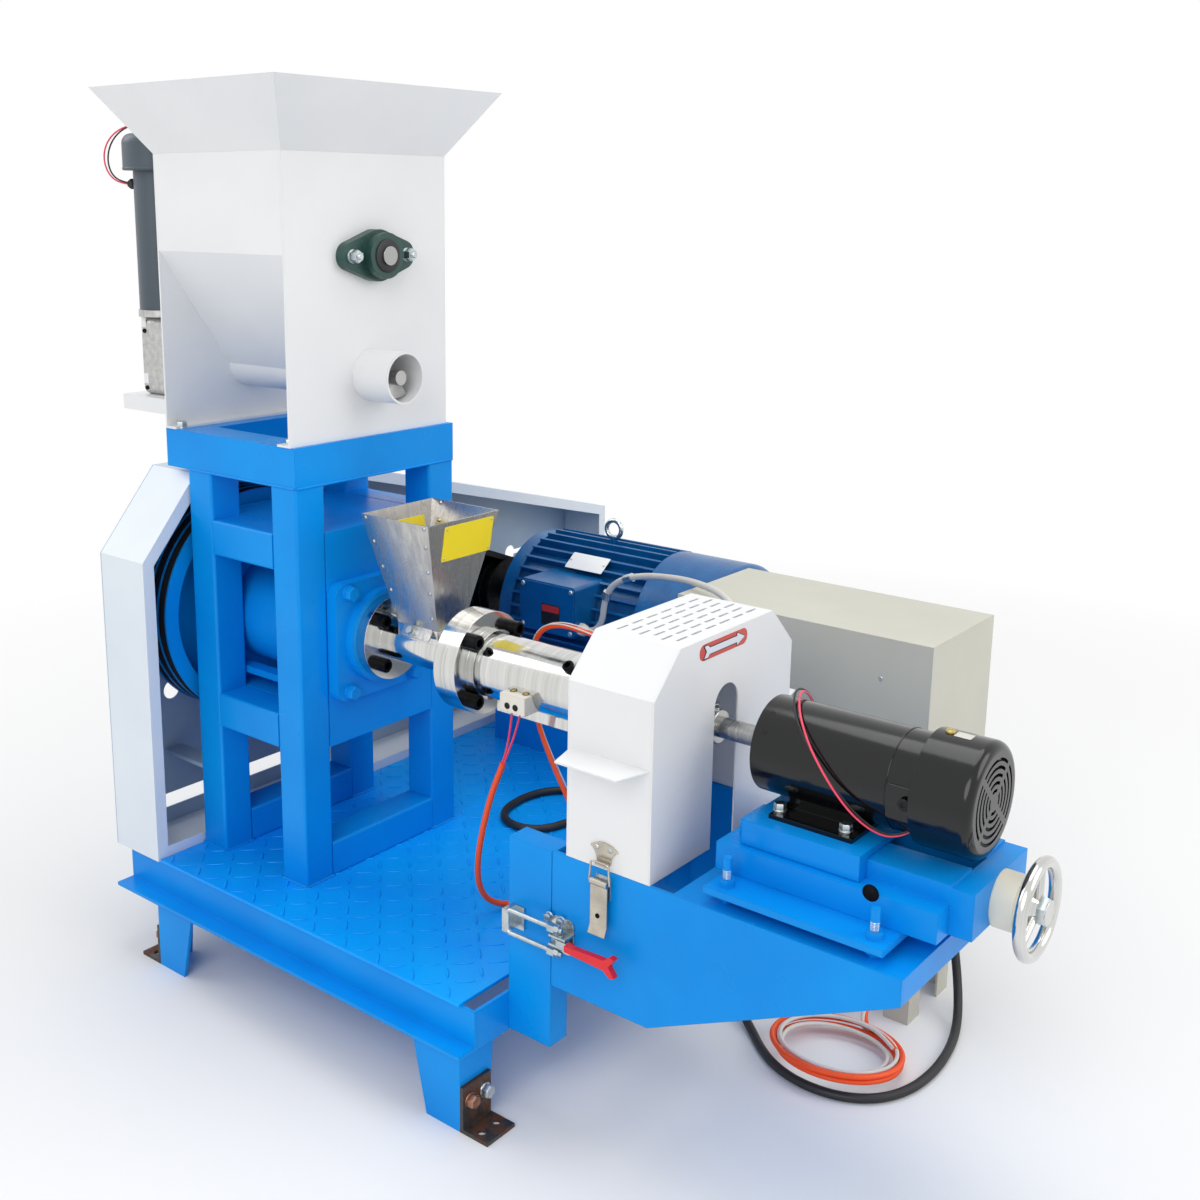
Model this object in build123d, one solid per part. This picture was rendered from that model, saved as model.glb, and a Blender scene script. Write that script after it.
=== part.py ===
from build123d import *
import math
import os

# Feed extruder. Millimetres. X runs along the screw towards the cutter, Y across, Z up.
# Places are first taken from the near front foot of the stand tower, X = 0 and Y = 0.

# Base
base_back = -300.0
base_front = 376.0
base_near = -75.0
base_far = 850.0
rail_bottom = 101.5
rail_height = 50.5
rail_wall = 5.0
rail_flange = 27.0
cross_rail_width = 40.0
deck_thickness = 4.0
deck_overhang = 3.0
deck_back = -226.0
deck_front = 354.0
leg_width_x = 78.0
leg_width_y = 60.0
leg_foot_x = 55.0
leg_foot_y = 52.0
leg_wall = 5.0
front_leg_inset = 8.0
back_leg_inset = 82.0
leg_out = 17.0
bracket_reach = 43.0
bracket_height = 60.0
bracket_width = 50.0
bracket_wall = 5.0
bracket_hole = 11.0
bracket_hole_spacing = 26.0

# Tower
tube = 50.0
tube_wall = 3.0
tube_corner = 4.0
tower_length = 225.0
tower_width = 300.0
tower_post_height = 559.5
ring_height = 54.0
ring_back_overhang = 45.0
middle_rail_height = 444.0
lower_rail_height = 192.0
tower_plate = 20.0
shelf_thickness = 10.0

# Screw and its bearing housing
axis_y = 132.0
axis_height = 340.0
housing_radius = 80.0
support_bar = 20.0
shaft_radius = 25.0
shaft_clearance = 1.0
cover_size = 166.0
cover_corner = 18.0
cover_thickness = 18.0
boss_radius = 66.0
boss_thickness = 12.0
barrel_bore_radius = 20.7
screw_radius = 20.0
screw_root_radius = 12.0
screw_pitch = 36.0
flight_thickness = 5.0
rear_flange_radius = 59.0
rear_flange_thickness = 16.0
feed_barrel_radius = 30.0
feed_barrel_length = 136.0
coupling_flange_radius = 68.0
coupling_flange_thickness = 18.0
step_radius = 46.0
step_length = 12.0
hot_barrel_radius = 38.0
hot_barrel_length = 240.0
die_flange_radius = 52.0
die_flange_thickness = 16.0
die_plate_thickness = 10.0
die_hole_radius = 1.9
die_hole_circle = 14.0
die_hole_count = 8
shaft_tail = 6.0
flight_margin = 8.0
screw_end_gap = 4.0
flight_sunk = 1.0
heater_gap = 8.0
heater_radius = 43.0
heater_length = 222.0
ear_width = 30.0
ear_thickness = 8.0
ear_split = 3.0
band_play = 0.1
terminal_length = 40.0
terminal_height = 23.0
terminal_out = 14.0
terminal_from_end = 47.0
terminal_drop = 9.0

# Small hopper over the barrel
throat_length = 60.0
throat_width = 40.0
throat_centre = 68.0
collar_margin = 6.0
collar_height = 4.0
funnel_rim_length = 122.0
funnel_rim_width = 136.0
funnel_height = 152.0
funnel_sheet = 1.5

# Feed bin over the tower
bin_back = -267.0
bin_front = -6.0
bin_near = -2.0
bin_far = 292.0
bin_sheet = 3.0
bin_straight_height = 128.0
bin_height = 372.5
flare_height = 85.0
flare_out_x = 57.0
flare_out_y = 56.0
auger_y = 146.0
auger_height = 82.5
auger_shaft_radius = 10.0
auger_radius = 29.0
auger_pitch = 48.0
auger_flight = 3.0
trough_gap = 3.0
trough_wall = 3.0
auger_end_gap = 8.0
auger_flight_start = 14.0
auger_flight_end = 10.0
outlet_length = 64.0
foot_flange = 22.0
stirrer_height = 241.5
stirrer_y = 150.0
stirrer_shaft_radius = 12.5
stirrer_rod_radius = 6.0
stirrer_rod_length = 150.0
stirrer_rod_count = 4
stirrer_end_gap = 6.0
bearing_length = 130.0
bearing_height = 68.0
bearing_thickness = 15.0
bearing_boss_radius = 30.0
bearing_boss_length = 30.0
bearing_bolt_spacing = 99.0
bearing_bolt_hole = 12.0
bearing_end_radius = 18.7
bearing_seat = 0.05

# Feeder drive behind the bin
shelf_depth = 183.0
shelf_width = 130.0
shelf_beyond_auger = 40.0
shelf_plate = 4.0
shelf_lip = 22.0
shelf_drop = 56.0
gearbox_width = 50.0
gearbox_height = 127.0
feeder_offset = 51.0
feeder_radius = 32.0
feeder_length = 200.0
feeder_cap = 52.0
feeder_cap_radius = 46.0
feeder_cap_corner = 14.0
gearbox_collar = 10.0
gearbox_collar_lip = 2.0
gearbox_corner = 12.0
gearbox_worm_side = 20.0
gearbox_wheel_side = 36.0
feeder_distance = 130.0

# Belt drive
pulley_width = 62.0
pulley_back = -302.0
pulley_headroom = 49.5
motor_pulley_radius = 60.0
belt_count = 3
belt_spacing = 19.0
belt_width = 12.0
belt_thickness = 10.0
groove_side_gap = 0.6
groove_flare = 1.6
groove_floor_gap = 2.0
belt_sink = 0.5
pulley_rim = 22.0
pulley_web = 16.0
pulley_hub_radius = 42.0

# Belt guard tray
guard_back = -328.0
guard_depth = 100.0
guard_sheet = 2.0
guard_lip = 18.0
guard_near = -80.0
guard_far = 982.0
guard_bottom = -4.0
guard_ring_gap = 8.5
guard_shoulder_drop = 113.0
guard_chamfer = 95.0
guard_slope_start = 190.0
guard_end_drop = 202.0
guard_gap_margin = 54.0
guard_gap_height = 22.0
guard_gap_bottom = 26.0
guard_strap = 30.0
guard_strap_thickness = 6.0
guard_strap_height = 116.0
keyhole_radius = 14.0
keyhole_neck = 9.0
keyhole_reach = 56.0
near_keyhole_y = 27.0
near_keyhole_height = 206.0
far_keyhole_y = 812.0
far_keyhole_height = 271.0

# Main motor and its stand
motor_y = 711.0
motor_shaft_height = 132.0
stand_height = 102.0
stand_near = 596.0
stand_far = 826.0
stand_back = -175.0
stand_front = 140.0
stand_wall = 6.0
motor_front_face = -165.0
motor_core_radius = 115.0
motor_fin_radius = 130.0
motor_fin_count = 36
motor_fin_thickness = 4.0
motor_shield = 32.0
motor_frame_length = 253.0
motor_cowl_length = 142.0
motor_cowl_radius = 129.0
motor_foot_span = 216.0
motor_foot_thickness = 16.0
motor_foot_start = 20.0
motor_foot_end = 50.0
motor_web_inset = 10.0
motor_web_narrowing = 24.0
motor_web_below_axis = 40.0
motor_fin_root = 2.0
motor_shaft_radius = 19.0
terminal_box_length = 115.0
terminal_box_height = 85.0
terminal_box_depth = 52.0
eye_ring_radius = 15.0
eye_wire_radius = 4.0
eye_shank_radius = 6.0
eye_from_front = 157.0
motor_lip = 6.0
motor_boss_radius = 60.0
motor_cowl_corner = 16.0
terminal_box_from_front = 89.0
terminal_box_rise = 2.0
terminal_box_corner = 8.0
terminal_box_sunk = 16.0

# Discharge unit: posts, hinge and chute
post_depth = 64.0
post_width = 32.0
post_bottom = -52.0
post_top = 198.5
unit_near = -13.0
unit_width = 290.0
seam = 1.0
chute_wall = 4.0
chute_bottom = 29.5
chute_floor_length = 136.0
chute_length = 428.0
chute_tail_bottom = 171.0
chute_top = 200.0
table_start = 164.0
table_thickness = 6.0
hinge_radius = 10.0
hinge_pin_radius = 5.0
hinge_offset = 14.0
hinge_knuckle = 26.0
hinge_leaf = 4.0
hinge_leaf_width = 34.0
hinge_low = 60.0
hinge_high = 130.0
hinge_play = 0.3
hinge_leaf_gap = 4.0
hinge_neck = 8.0

# Cutter guard
hood_back = 461.0
hood_length = 115.0
hood_sheet = 2.0
hood_shoulder = 410.0
hood_top = 458.0
hood_chamfer = 48.0
hood_seat_gap = 0.3
hood_slot_width = 50.0
hood_slot_top = 394.0
hood_mouth_width = 140.0
hood_mouth_top = 424.0
vent_columns = 6
vent_rows = 6
vent_length = 21.0
vent_width = 3.5
vent_step_x = 15.0
vent_step_y = 29.0
lift_flange_out = 44.0
lift_flange_height = 330.0
lift_flange_inset = 4.0
lift_flange_taper = 12.0

# Draw latches and toggle clamp
latch_x = 515.0
latch_pivot_height = 188.0
latch_sheet = 2.0
catch_bottom = 209.0
catch_neck_half = 9.5
catch_tip_half = 19.0
catch_tip_height = 226.0
catch_top = 233.0
catch_hook_reach = 7.5
catch_hook_half = 8.0
bail_wire = 1.2
bail_foot_half = 14.0
bail_head_half = 12.0
bail_head_height = 212.0
bail_corner = 4.0
bail_out = 9.3
roller_radius = 4.0
roller_half = 11.5
lever_length = 62.0
lever_bend = 10.0
lever_kick = 4.0
latch_base_half = 10.0
latch_base_drop = 22.0
latch_base_rise = 6.0
latch_boss_half = 8.0
latch_play = 0.3
clamp_height = 101.0
clamp_base_x = 459.0
clamp_base_half = 16.0
clamp_base_rise = 22.0
clamp_base_sheet = 3.0
clamp_base_corner = 8.0
clamp_pivot_x = 466.0
clamp_pivot_out = 15.0
clamp_pin_radius = 3.0
clamp_pin_half = 8.0
cheek_start = 452.0
cheek_end = 476.0
cheek_out = 20.0
cheek_inner = 4.2
cheek_outer = 6.8
clamp_lever_half = 3.7
grip_start = 479.0
grip_fork_start = 534.0
grip_end = 549.0
grip_half = 6.0
grip_fork_half = 13.0
grip_thickness = 8.0
hook_bracket_x = 392.0
hook_bracket_half = 10.0
hook_bracket_sheet = 4.0
rod_radius = 3.0
rod_offset = 14.5
rod_out = 17.0
rod_start = 388.0
rod_end = 470.0
rod_block_x = 450.0
rod_block_length = 10.0
rod_block_half = 4.0
rod_nut_radius = 5.5
rod_nut_length = 6.0

# Cutter slide
stud_radius = 5.0
stud_inset = 18.0
stud_height = 52.0
nut_radius = 9.0
nut_height = 8.0
slide_plate_back = 640.0
slide_plate_length = 205.0
slide_plate_gap = 12.0
slide_plate_thickness = 8.0
slide_plate_inset = 6.0
slide_back = 628.0
slide_length = 252.0
slide_width = 192.0
slide_base_height = 32.0
bed_width = 136.0
bed_height = 20.0
screw_slot_width = 36.0
carriage_back = 652.0
carriage_length = 138.0
carriage_width = 170.0
carriage_top_thickness = 8.0
carriage_gap = 0.5
end_block_thickness = 24.0
end_block_height = 50.0
slide_end_wall = 12.0
slide_channel_floor = 4.0
screw_play = 0.3
nut_block_length = 32.0
nut_block_half = 13.0
wheel_gap = 2.0
screw_tip_gap = 2.0
lead_screw_radius = 7.0
lead_screw_height = 241.0
bush_radius = 30.0
bush_length = 24.0
handwheel_radius = 48.0
handwheel_rim_radius = 6.5
handwheel_hub_radius = 13.0
handwheel_hub_length = 24.0
spoke_radius = 4.5
spoke_count = 3

# Cutter
motor_plate_thickness = 5.0
motor_plate_length = 98.0
motor_plate_width = 128.0
cradle_inset = 8.0
cradle_half = 34.0
cradle_below_axis = 36.0
cutter_motor_front = 640.0
cutter_motor_radius = 54.0
cutter_motor_length = 186.0
cutter_cowl_radius = 62.0
cutter_cowl_length = 64.0
cutter_cowl_corner = 10.0
grille_first = 12.0
grille_step = 8.0
grille_rings = 5
grille_slot = 3.5
grille_depth = 4.0
grille_spoke = 7.0
grille_spokes = 2
rotor_play = 0.3
cutter_shaft_radius = 12.0
knife_gap = 5.0
knife_thickness = 4.0
knife_length = 92.0
knife_width = 22.0
knife_holder_radius = 24.0
knife_holder_length = 18.0

# Control box
box_back = 288.0
box_front = 676.0
box_near = 463.0
box_far = 661.0
box_bottom = 116.0
box_top = 376.0
box_door = 3.0
stand_leg = 35.0
stand_leg_sheet = 3.0
stand_depth = 127.0
deck_leg_inset = 8.0

# Cords, as points from their exit to their far end. Z is measured from the deck's top here.
heater_lead_size = 8.0
heater_lead_points = [
    (303, 86, 308), (301, 84, 290), (295, 82, 262), (283, 81, 228), (268, 80, 192), (254, 80, 145),
    (243, 81, 96), (235, 89, 54), (234, 106, 22), (243, 131, 6), (259, 162, 4.5), (281, 194, 4.5),
    (303, 230, 4.5), (318, 272, 4.5), (324, 318, 4.5), (325, 364, 5), (327, 402, 14), (333, 436, 34),
    (340, 462, 62), (342, 475, 92), (342, 478, 116),
]
sensor_lead_size = 7.0
sensor_lead_points = [
    (430, 171, 358), (426, 183, 363), (413, 197, 369), (388, 206, 374), (352, 207, 380), (314, 206, 385),
    (278, 206, 386), (249, 206, 377), (232, 206, 354), (228, 206, 318), (230, 206, 280), (239, 206, 243),
    (254, 206, 210), (272, 207, 177), (291, 209, 143), (309, 213, 108), (324, 219, 73), (334, 230, 40),
    (340, 252, 15), (344, 286, 4.3), (346, 326, 4), (345, 366, 9), (345, 400, 25), (347, 440, 31),
    (350, 472, 53), (351, 494, 79), (351, 503, 100), (351, 504, 116),
]
motor_conduit_size = 10.0
motor_conduit_points = [
    (39, 560, 250), (55, 560, 250), (75, 557, 258), (88, 553, 277), (93, 549, 302), (102, 546, 328),
    (124, 542, 349), (156, 536, 363), (194, 528, 373), (234, 517, 380), (276, 502, 386), (318, 485, 389),
    (358, 467, 388), (390, 450, 378), (408, 441, 354), (414, 439, 324), (417, 446, 298), (419, 463, 284),
]
supply_cable_size = 12.0
supply_cable_points = [
    (340, 530, 116), (338, 529, 88), (328, 525, 52), (304, 518, 22), (266, 511, 9), (222, 507, 7),
    (170, 506, 6.2), (118, 504, 6.2), (78, 490, 6.2), (52, 462, 6.2), (41, 428, 6.2), (41, 396, 6.2),
    (47, 364, 6.2), (64, 340, 6.2), (91, 329, 6.2), (119, 334, 6.2), (140, 354, 6.2), (148, 386, 6.2),
    (159, 420, 6.2), (184, 445, 6.2), (222, 456, 6.2), (266, 453, 6.2), (318, 434, 6.2), (366, 412, 9),
    (404, 396, 2), (432, 382, -30), (450, 368, -74), (468, 352, -116), (496, 332, -143), (528, 308, -149.8),
    (558, 280, -149.8), (592, 258, -149.8), (636, 247, -149.8), (684, 254, -149.8), (722, 280, -149.8),
    (744, 322, -149.8), (751, 372, -149.8), (748, 424, -149.8), (738, 474, -149.8), (724, 516, -141),
    (708, 546, -112), (692, 564, -70), (676, 578, -22), (662, 590, 30), (654, 597, 76), (651, 600, 116),
]
cutter_lead_size = 5.0
cutter_lead_points = [
    (818, 97, 299), (809, 91, 293), (792, 82, 294), (769, 74, 309), (747, 70, 332), (727, 71, 354),
    (709, 77, 372), (691, 90, 389), (676, 110, 400), (665, 132, 404), (659, 155, 400), (657, 176, 387),
    (657, 191, 366), (660, 199, 340), (666, 202, 315), (674, 197, 297), (680, 191, 285.5),
]
feeder_lead_size = 6.0
feeder_lead_points = [
    (-424, 72, 948), (-436, 62, 950), (-447, 53, 960), (-452, 49, 979), (-450, 51, 1000), (-440, 59, 1019),
    (-424, 73, 1031), (-409, 85, 1031), (-399, 93, 1019),
]
coil_lead_size = 7.0
coil_lead_points = [
    (600, 520, 116), (600, 519, 92), (602, 514, 52), (607, 506, 2), (613, 494, -48), (620, 474, -92),
    (628, 444, -122), (636, 412, -130),
]
coil_x = 640.0
coil_y = 325.0
coil_height = 21.0
coil_radius = 77.0
coil_spread = 20.0
coil_section = 22.0
coil_tilt = 6.0

deck_top = rail_bottom + rail_height + deck_thickness
axis_z = deck_top + axis_height
tower_back = -tower_length
main_pulley_radius = tower_post_height - axis_height - pulley_headroom
guard_top = tower_post_height - guard_ring_gap
guard_shoulder = guard_top - guard_shoulder_drop
guard_end_top = guard_top - guard_end_drop
ring_back = tower_back - ring_back_overhang
ring_top = deck_top + tower_post_height + ring_height
flange_start = cover_thickness + boss_thickness
feed_start = flange_start + rear_flange_thickness
coupling_start = feed_start + feed_barrel_length
hot_start = coupling_start + coupling_flange_thickness
hot_tube_start = hot_start + coupling_flange_thickness + step_length
die_start = hot_tube_start + hot_barrel_length
die_end = die_start + die_flange_thickness + die_plate_thickness
unit_back = base_front + post_depth + seam
unit_far = unit_near + unit_width
unit_top = deck_top + chute_top
auger_z = ring_top + auger_height
bin_top = ring_top + bin_height
motor_z = deck_top + stand_height + motor_shaft_height
slide_z = unit_top + slide_plate_gap + slide_plate_thickness
bed_z = slide_z + slide_base_height
carriage_top = bed_z + bed_height + carriage_gap + carriage_top_thickness
lead_screw_z = deck_top + lead_screw_height
slide_front = slide_back + slide_length

parts = {}


def block(x0, x1, y0, y1, z0, z1):
    """A box between two corners."""
    size = (x1 - x0, y1 - y0, z1 - z0)
    return Pos((x0 + x1) / 2, (y0 + y1) / 2, (z0 + z1) / 2) * Box(*size)


def round_x(radius, x0, x1, y, z):
    """A cylinder along X."""
    return Pos((x0 + x1) / 2, y, z) * Rot(0, 90, 0) * Cylinder(radius, x1 - x0)


def round_y(radius, y0, y1, x, z):
    """A cylinder along Y."""
    return Pos(x, (y0 + y1) / 2, z) * Rot(90, 0, 0) * Cylinder(radius, y1 - y0)


def round_z(radius, z0, z1, x, y):
    """A cylinder along Z."""
    return Pos(x, y, (z0 + z1) / 2) * Cylinder(radius, z1 - z0)


def profile_x(points, x0, x1):
    """An outline of Y and Z points carried along X."""
    face = make_face(Polyline(*[(x0, y, z) for y, z in points], close=True))
    return extrude(face, x1 - x0, dir=(1, 0, 0))


def profile_y(points, y0, y1):
    """An outline of X and Z points carried along Y."""
    face = make_face(Polyline(*[(x, y0, z) for x, z in points], close=True))
    return extrude(face, y1 - y0, dir=(0, 1, 0))


def tube_along(axis, x0, x1, y0, y1, z0, z1, wall):
    """A square tube with rounded long edges, open at both ends."""
    grow = {"x": (0, wall, wall), "y": (wall, 0, wall), "z": (wall, wall, 0)}[axis]
    along = {"x": Axis.X, "y": Axis.Y, "z": Axis.Z}[axis]
    outer = block(x0, x1, y0, y1, z0, z1)
    outer = fillet(outer.edges().filter_by(along), tube_corner)
    return outer - block(x0 + grow[0], x1 - grow[0], y0 + grow[1], y1 - grow[1], z0 + grow[2], z1 - grow[2])


def group(*solids):
    """Like solids that share one node."""
    return Compound([solid for shape in solids for solid in shape.solids()])


def add(name, *solids):
    """Keeps a node under its name."""
    parts[name] = group(*solids)


def make_base():
    """Angle rails, end rails, cross rails, deck plate, tapered corner legs and foot brackets."""
    top = rail_bottom + rail_height
    near_angle = [
        (base_near, top),
        (base_near, rail_bottom + rail_wall),
        (base_near - rail_flange, rail_bottom + rail_wall),
        (base_near - rail_flange, rail_bottom),
        (base_near + rail_wall, rail_bottom),
        (base_near + rail_wall, top),
    ]
    far_angle = [(base_near + base_far - y, z) for y, z in near_angle]
    add(
        "base_side_rails",
        profile_x(near_angle, base_back, base_front),
        profile_x(far_angle, base_back, base_front),
    )
    inside_near = base_near + rail_wall
    inside_far = base_far - rail_wall
    back_angle = [
        (base_back, top),
        (base_back, rail_bottom),
        (base_back + rail_flange, rail_bottom),
        (base_back + rail_flange, rail_bottom + rail_wall),
        (base_back + rail_wall, rail_bottom + rail_wall),
        (base_back + rail_wall, top),
    ]
    front_angle = [(base_back + base_front - x, z) for x, z in back_angle]
    cross = [profile_y(back_angle, inside_near, inside_far), profile_y(front_angle, inside_near, inside_far)]
    for middle in (tower_back + tube / 2, -tube / 2):
        x0 = middle - cross_rail_width / 2
        x1 = middle + cross_rail_width / 2
        cross.append(tube_along("y", x0, x1, inside_near, inside_far, rail_bottom + rail_wall, top, tube_wall))
    add("base_cross_rails", *cross)
    add(
        "deck_plate",
        block(deck_back, deck_front, base_near - deck_overhang, base_far + deck_overhang, top, deck_top),
    )
    add("base_legs", *[corner_leg(end, side) for end in (0, 1) for side in (0, 1)])
    add("foot_brackets", *[foot_bracket(end, side) for end in (0, 1) for side in (0, 1)])


def leg_corner(end, side):
    """Outer corner of a leg, with the inward directions along X and Y."""
    x = base_front - front_leg_inset if end else base_back + back_leg_inset
    y = base_far + leg_out if side else base_near - leg_out
    return x, y, (-1 if end else 1), (-1 if side else 1)


def corner_leg(end, side):
    """A leg folded from sheet into a corner, narrower at the foot."""
    x, y, sx, sy = leg_corner(end, side)
    across = [(x, rail_bottom), (x + sx * leg_width_x, rail_bottom), (x + sx * leg_foot_x, 0), (x, 0)]
    along = [(y, rail_bottom), (y + sy * leg_width_y, rail_bottom), (y + sy * leg_foot_y, 0), (y, 0)]
    y0, y1 = sorted((y, y + sy * leg_wall))
    x0, x1 = sorted((x, x + sx * leg_wall))
    return profile_y(across, y0, y1) + profile_x(along, x0, x1)


def foot_bracket(end, side):
    """A steel angle on the leg's end face, drilled for two floor bolts and two leg bolts."""
    x, y, sx, sy = leg_corner(end, side)
    out = -sx
    y0, y1 = sorted((y, y + sy * bracket_width))
    x0, x1 = sorted((x, x + out * bracket_reach))
    w0, w1 = sorted((x, x + out * bracket_wall))
    body = block(x0, x1, y0, y1, 0, bracket_wall) + block(w0, w1, y0, y1, 0, bracket_height)
    middle = (y0 + y1) / 2
    for offset in (-bracket_hole_spacing / 2, bracket_hole_spacing / 2):
        place = x + out * (bracket_wall + bracket_reach) / 2
        body -= round_z(bracket_hole / 2, 0, bracket_wall, place, middle + offset)
    return body


def make_tower():
    """Square tube tower with its top ring, rails, plates and shelves."""
    posts = []
    for x in (tower_back, -tube):
        for y in (0, tower_width - tube):
            top = deck_top + tower_post_height
            posts.append(tube_along("z", x, x + tube, y, y + tube, deck_top, top, tube_wall))
    add("tower_posts", *posts)
    ring_low = deck_top + tower_post_height
    ring = block(ring_back, 0, 0, tower_width, ring_low, ring_top)
    ring -= block(ring_back + tube, -tube, tube, tower_width - tube, ring_low, ring_top)
    add("tower_top_ring", ring)
    rails = []
    for height in (middle_rail_height, lower_rail_height):
        for y in (0, tower_width - tube):
            z = deck_top + height
            rails.append(tube_along("x", tower_back + tube, -tube, y, y + tube, z, z + tube, tube_wall))
    for x in (tower_back, -tube):
        rails.append(tube_along("y", x, x + tube, tube, tower_width - tube, deck_top, deck_top + tube, tube_wall))
    add("tower_rails", *rails)
    low = deck_top + lower_rail_height
    high = deck_top + middle_rail_height + tube
    bore = shaft_radius + shaft_clearance
    box = block(tower_back, 0, tube, tower_width - tube, low, high)
    inside_back = tower_back + tower_plate
    floor = low + tube
    box -= block(inside_back, -tower_plate, tube, tower_width - tube, floor, high - shelf_thickness)
    box -= block(inside_back, -tower_plate, tube, tower_width - tube, low, floor - shelf_thickness)
    box += round_x(housing_radius, inside_back, -tower_plate, axis_y, axis_z)
    bar_y = axis_y - housing_radius
    bar_z = axis_z - housing_radius
    box += block(inside_back, -tower_plate, bar_y, bar_y + support_bar, bar_z, bar_z + support_bar / 2)
    add("spindle_box", box - round_x(bore, tower_back, 0, axis_y, axis_z))


def ring_x(outer, inner, x0, x1, y, z):
    """A ring along X."""
    return round_x(outer, x0, x1, y, z) - round_x(inner, x0, x1, y, z)


def make_barrel():
    """Bearing cover, feed barrel with its throat, hot barrel, die plate and heater band."""
    half = cover_size / 2
    cover = block(0, cover_thickness, axis_y - half, axis_y + half, axis_z - half, axis_z + half)
    cover = fillet(cover.edges().filter_by(Axis.X), cover_corner)
    cover += round_x(boss_radius, cover_thickness, flange_start, axis_y, axis_z)
    cover -= round_x(shaft_radius + shaft_clearance, 0, flange_start, axis_y, axis_z)
    add("bearing_cover", cover)

    barrel = round_x(rear_flange_radius, flange_start, feed_start, axis_y, axis_z)
    barrel += round_x(feed_barrel_radius, feed_start, coupling_start, axis_y, axis_z)
    barrel += round_x(coupling_flange_radius, coupling_start, hot_start, axis_y, axis_z)
    x0 = feed_start + throat_centre - collar_margin - throat_length / 2
    x1 = x0 + throat_length + 2 * collar_margin
    y0 = axis_y - throat_width / 2 - collar_margin
    y1 = axis_y + throat_width / 2 + collar_margin
    seat = axis_z + feed_barrel_radius + collar_height
    barrel += block(x0, x1, y0, y1, axis_z, seat)
    barrel -= round_x(barrel_bore_radius, flange_start, hot_start, axis_y, axis_z)
    throat = block(x0 + collar_margin, x1 - collar_margin, y0 + collar_margin, y1 - collar_margin, axis_z, seat)
    add("feed_barrel", barrel - throat)

    middle = (x0 + x1) / 2
    lower = Plane.XY.offset(seat) * Pos(middle, axis_y) * Rectangle(x1 - x0, y1 - y0)
    rim = seat + funnel_height
    upper = Plane.XY.offset(rim) * Pos(middle, axis_y) * Rectangle(funnel_rim_length, funnel_rim_width)
    two = 2 * funnel_sheet
    inner_lower = Plane.XY.offset(seat) * Pos(middle, axis_y) * Rectangle(x1 - x0 - two, y1 - y0 - two)
    inner_upper = Plane.XY.offset(rim) * Pos(middle, axis_y) * Rectangle(funnel_rim_length - two, funnel_rim_width - two)
    add("inlet_hopper", loft([lower, upper]) - loft([inner_lower, inner_upper]))

    hot = round_x(coupling_flange_radius, hot_start, hot_start + coupling_flange_thickness, axis_y, axis_z)
    hot += round_x(step_radius, hot_start, hot_tube_start, axis_y, axis_z)
    hot += round_x(hot_barrel_radius, hot_tube_start, die_start, axis_y, axis_z)
    hot += round_x(die_flange_radius, die_start, die_start + die_flange_thickness, axis_y, axis_z)
    hot -= round_x(barrel_bore_radius, hot_start, die_start + die_flange_thickness, axis_y, axis_z)
    die = round_x(die_flange_radius, die_start + die_flange_thickness, die_end, axis_y, axis_z)
    for n in range(die_hole_count):
        turn = 2 * math.pi * n / die_hole_count
        y = axis_y + die_hole_circle * math.cos(turn)
        z = axis_z + die_hole_circle * math.sin(turn)
        die -= round_x(die_hole_radius, die_start + die_flange_thickness, die_end, y, z)
    add("hot_barrel", hot + die)

    x0 = hot_tube_start + heater_gap
    x1 = x0 + heater_length
    band = round_x(heater_radius, x0, x1, axis_y, axis_z)
    band += block(x0, x1, axis_y - ear_thickness, axis_y + ear_thickness, axis_z - heater_radius - ear_width / 2, axis_z)
    band -= round_x(hot_barrel_radius + band_play, x0, x1, axis_y, axis_z)
    split = ear_split / 2
    low = axis_z - heater_radius - ear_width
    band -= block(x0, x1, axis_y - split, axis_y + split, low, axis_z - hot_barrel_radius)
    add("heater_band", band)
    x = x0 + terminal_from_end
    top = axis_z - terminal_drop
    y0 = axis_y - heater_radius - terminal_out
    terminal = block(x, x + terminal_length, y0, axis_y, top - terminal_height, top)
    terminal -= round_x(heater_radius + band_play, x, x + terminal_length, axis_y, axis_z)
    add("heater_terminal", terminal)


def helical_flight(outer, root, thickness, pitch, x0, x1, y, z):
    """A screw flight round an X shaft, its blade sunk a little into the root."""
    sunk = root - flight_sunk
    path = Helix(pitch, x1 - x0, (outer + sunk) / 2)
    section = Plane(path @ 0, x_dir=(1, 0, 0), z_dir=(0, 1, 0)) * Rectangle(outer - sunk, thickness)
    blade = sweep(section, path, is_frenet=True)
    return Pos(x0, y, z) * Rot(0, 90, 0) * blade


def make_screw():
    """The extruding screw with its main shaft."""
    screw = round_x(shaft_radius, pulley_back - shaft_tail, flange_start, axis_y, axis_z)
    x1 = die_start + die_flange_thickness - screw_end_gap
    screw += round_x(screw_root_radius, flange_start, x1, axis_y, axis_z)
    f0 = flange_start + flight_margin
    f1 = x1 - flight_margin
    flight = helical_flight(screw_radius, screw_root_radius, flight_thickness, screw_pitch, f0, f1, axis_y, axis_z)
    add("extruder_screw", screw + flight)


def funnel_outline(inset):
    """Y and Z points of the bin and its sloped funnel down to the auger trough, inset by a wall."""
    trough = auger_radius + trough_gap + trough_wall - inset
    near = bin_near + inset
    far = bin_far - inset
    knee = bin_top - bin_straight_height
    left = auger_y - trough
    right = auger_y + trough
    return near, far, knee, left, right, trough


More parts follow.
